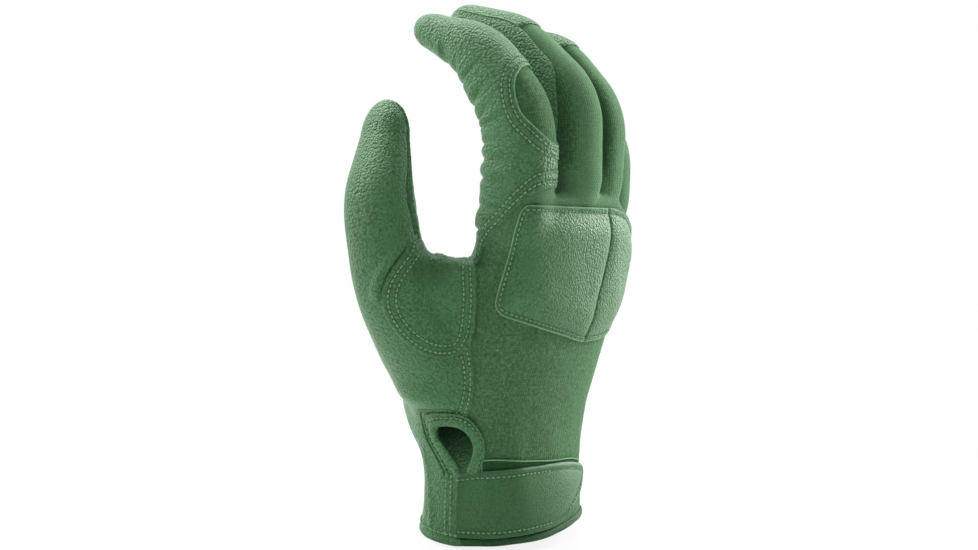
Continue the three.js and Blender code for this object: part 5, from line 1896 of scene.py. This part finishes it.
    def loop(self) -> None:
        """Pile patch that the strap grips, its upper edge bound with a thin cord."""
        hand = self.skin.body.hand
        a, t = np.linspace(self.loop_angle[0], self.loop_angle[-1], 130), np.linspace(0, 1, 34)
        aa, tt = np.meshgrid(a, t)
        low = through(self.low_angle, self.low_z, aa) + 1.6
        zz = low + (through(self.loop_angle, self.loop_top, aa) - low) * tt
        lies = self.probe.height(zz.ravel(), aa.ravel(), aa.shape).reshape(aa.shape)
        made = grid_surface(hand.point(zz, aa, lies + 0.75))
        made.fields = {"below": hand.point(zz, aa, lies + 0.1).reshape(-1, 3)}
        made.fields["normal"] = made.normals()
        piece = sheet_piece("loop_pile_patch", made, 0.8, self.wardrobe.pile)
        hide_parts("loop_patch")
        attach(piece, "hand")
        rim = np.concatenate([made.points, made.fields["normal"]], 1).reshape(*aa.shape, 6)
        self.sewing.cord(np.concatenate([rim[16:, 0], rim[-1, 1:]]), 0.3, "cut", zone="hand")

    def anchor(self) -> None:
        """Two rows that sew the strap's end to the cuff."""
        hand = self.skin.body.hand
        zz = np.linspace(3.6, 26.6, 40)
        for low, top in ((-90.5, -93.7), (-87.6, -90.4)):
            aa = through([3, 27], [low, top], zz)
            lies = self.probe.height(zz, aa, (40, 1))
            self.sewing.row(np.concatenate([hand.point(zz, aa, lies), hand.normal(zz, aa)], 1), zone="hand")

    def strap(self) -> None:
        """Leather strap with its hook tape, in a body and a pull tip."""
        hand = self.skin.body.hand
        outer = self.strap_sheet(0.1, 1.25)
        cut = outer.fields["angle"] - self.tip_cut
        peel, fold = ({"start": tuple(hand.point(z, at[0], rise) * MM),
                       "end": tuple(hand.point(z, at[1], rise) * MM)}
                      for z, at, rise in ((18.0, self.peels_at, 3.5), (15.0, self.folds_at, 1.5)))
        self.sewing.bends["strap"] = fold
        for name, part, node in (("strap_leather_body", outer.clip(-cut), "strap_body"),
                                 ("strap_leather_tip", outer.clip(cut), "strap_tip")):
            piece = sheet_piece(name, part, 1.5, self.wardrobe.strap)
            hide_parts(node)
            if node == "strap_body":
                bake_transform(piece)
            else:
                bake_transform(piece)
            LOG.info("%s: %d faces", piece.name, len(piece.data.polygons))
        tape = self.strap_sheet(-0.35, 0.05)
        tape = tape.clip(tape.fields["edge"] - 2.5)
        tape = tape.clip(tape.fields["angle"] + 34)
        for name, part, node in (("hook_tape_body", tape.clip(-(tape.fields["angle"] + 4)),
                                  "hook_patch_body"),
                                 ("hook_tape_tip", tape.clip(tape.fields["angle"] - 1), "hook_patch_tip")):
            piece = sheet_piece(name, part, 0.7, self.wardrobe.pile)
            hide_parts(node)
            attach(piece, "strap" if node == "hook_patch_body" else "strap_tip")
        turn = outer.fields["angle"]
        for zone, shown in (("strap", turn < self.tip_cut), ("strap_tip", turn > self.peels_at[1])):
            for chain in outer.lines(outer.fields["free"] - self.row, shown, 12):
                self.sewing.row(chain, zone=zone)


# Studio


@dataclass(frozen=True)
class Studio:
    """Camera at the photograph's angle, pale floor and soft lights."""

    azimuth: float = -56.0
    elevation: float = 5.0
    roll: float = 5.0
    distance: float = 500.0
    focal_pixels: float = 1330.0
    sensor: float = 36.0
    target: tuple[float, float, float] = (-11.6, 8.3, 98.0)
    lamps: tuple[tuple[str, float, float, float, float, float], ...] = (
        ("right_rim_lamp", 0.75, 0.35, -0.45, 0.6, 13.0),
        ("left_rim_lamp", -0.7, 0.62, -0.2, 0.6, 8.5),
        ("top_lamp", -0.1, 0.95, -0.3, 0.6, 9.5),
        ("top_front_lamp", 0.1, 0.9, 0.5, 0.7, 3.8),
    )
    ambient: float = 0.05
    floor_radius: float = 4.0
    floor_level: float = -0.0004

    def axes(self) -> tuple[np.ndarray, np.ndarray, np.ndarray]:
        """Right, up and back directions of the camera."""
        az, el, roll = (math.radians(v) for v in (self.azimuth, self.elevation, self.roll))
        back = np.array([math.sin(az) * math.cos(el), -math.cos(az) * math.cos(el), math.sin(el)])
        right = np.array([math.cos(az), math.sin(az), 0])
        up = np.cross(back, right)
        return (right * math.cos(roll) + up * math.sin(roll), -right * math.sin(roll) + up * math.cos(roll),
                back)

    def camera(self) -> None:
        """Adds the camera."""
        right, up, back = self.axes()
        eye = np.asarray(self.target) + back * self.distance
        bpy.ops.object.camera_add()
        made = bpy.context.object
        made.name = "studio_camera"
        turn = Matrix(np.stack([right, up, back], 1).tolist()).to_4x4()
        made.matrix_world = Matrix.Translation(Vector((eye * MM).tolist())) @ turn
        made.data.sensor_width = self.sensor
        made.data.sensor_fit = "HORIZONTAL"
        made.data.lens = self.focal_pixels * self.sensor / IMAGE_WIDTH
        made.data.clip_start = 0.01
        made.data.dof.use_dof = False
        bpy.context.scene.camera = made

    def lamp(self, name: str, across: float, up: float, back: float, size: float, power: float) -> None:
        """Adds a soft square lamp that faces the glove, placed along the camera's axes in metres."""
        right, high, out = self.axes()
        place = np.asarray(self.target) * MM + right * across + high * up + out * back
        bpy.ops.object.light_add(type="AREA", location=place.tolist())
        made = bpy.context.object
        made.name = name
        made.data.size, made.data.energy = size, power
        aim = Vector((np.asarray(self.target) * MM - place).tolist())
        made.rotation_euler = aim.to_track_quat("-Z", "Y").to_euler()

    @staticmethod
    def cuff_lamp() -> None:
        """Adds a faint light inside the cuff, for the daylight that its open end lets in."""
        bpy.ops.object.light_add(type="POINT", location=(0.012, 0.004, 0.016))
        made = bpy.context.object
        made.name = "cuff_lamp"
        made.data.energy, made.data.shadow_soft_size = 0.008, 0.012

    def build(self) -> None:
        """Sets the camera, lamps, floor and white surroundings."""
        scene = bpy.context.scene
        scene.view_settings.view_transform = "Standard"
        self.camera()
        for lamp in self.lamps:
            self.lamp(*lamp)
        self.cuff_lamp()
        world = bpy.data.worlds.new("white_studio")
        scene.world = world
        world.use_nodes = True
        tree = world.node_tree
        tree.nodes.clear()
        path = add(tree, "ShaderNodeLightPath")
        mirrored = maths(tree, "MAXIMUM", path.outputs["Is Glossy Ray"],
                         path.outputs["Is Transmission Ray"])
        seen = maths(tree, "MAXIMUM", path.outputs["Is Camera Ray"], mirrored)
        soft = add(tree, "ShaderNodeBackground", {"Color": (1, 1, 1, 1), "Strength": self.ambient})
        white = add(tree, "ShaderNodeBackground", {"Color": (1, 1, 1, 1), "Strength": 1.0})
        mixed = add(tree, "ShaderNodeMixShader", i0=seen, i1=soft.outputs[0], i2=white.outputs[0])
        add(tree, "ShaderNodeOutputWorld", i0=mixed.outputs[0])
        self.floor()

    def floor(self) -> None:
        """Pale floor that fades into the white round it and keeps the glove's soft shadow."""
        bpy.ops.mesh.primitive_circle_add(vertices=96, radius=self.floor_radius, fill_type="NGON",
                                          location=(0, 0, self.floor_level))
        made = bpy.context.object
        bpy.ops.object.transform_apply(location=True, rotation=True, scale=True)
        made.name = "studio_floor"
        finish, tree = blank("matt_white_paper")
        path = add(tree, "ShaderNodeLightPath")
        paper = add(tree, "ShaderNodeBsdfDiffuse", {"Color": linear("#f7f8f7")})
        glow = add(tree, "ShaderNodeEmission", {"Color": (1, 1, 1, 1), "Strength": 1.0})
        place = add(tree, "ShaderNodeTexCoord").outputs["Object"]
        far = add(tree, "ShaderNodeVectorMath", {"operation": "LENGTH"}, i0=place)
        fade = spread(tree, far.outputs["Value"], 0.05, 0.34, (0.85, 1.0))
        share = maths(tree, "MULTIPLY", path.outputs["Is Camera Ray"], fade)
        mixed = add(tree, "ShaderNodeMixShader", i0=share, i1=paper.outputs[0], i2=glow.outputs[0])
        add(tree, "ShaderNodeOutputMaterial", i0=mixed.outputs[0])
        made.data.materials.append(finish)


def main() -> None:
    """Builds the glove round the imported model, then the studio."""
    logging.basicConfig(level=logging.INFO, format="%(name)s: %(message)s")
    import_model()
    only()
    body = GloveBody()
    wardrobe, zones = Wardrobe(), ZoneMap(body)
    sewing = Sewing(zones, wardrobe)
    skin = GloveSkin(body, zones, wardrobe, sewing)
    skin.build()
    CrotchPatch(skin).build()
    probe = SkinProbe(body.hand, skin.leather, skin.knit)
    KnuckleGuard(body, wardrobe, sewing, probe).build()
    WristClosure(skin, wardrobe, sewing, probe).build()
    sewing.make()
    Studio().build()


if __name__ == "__main__":
    main()
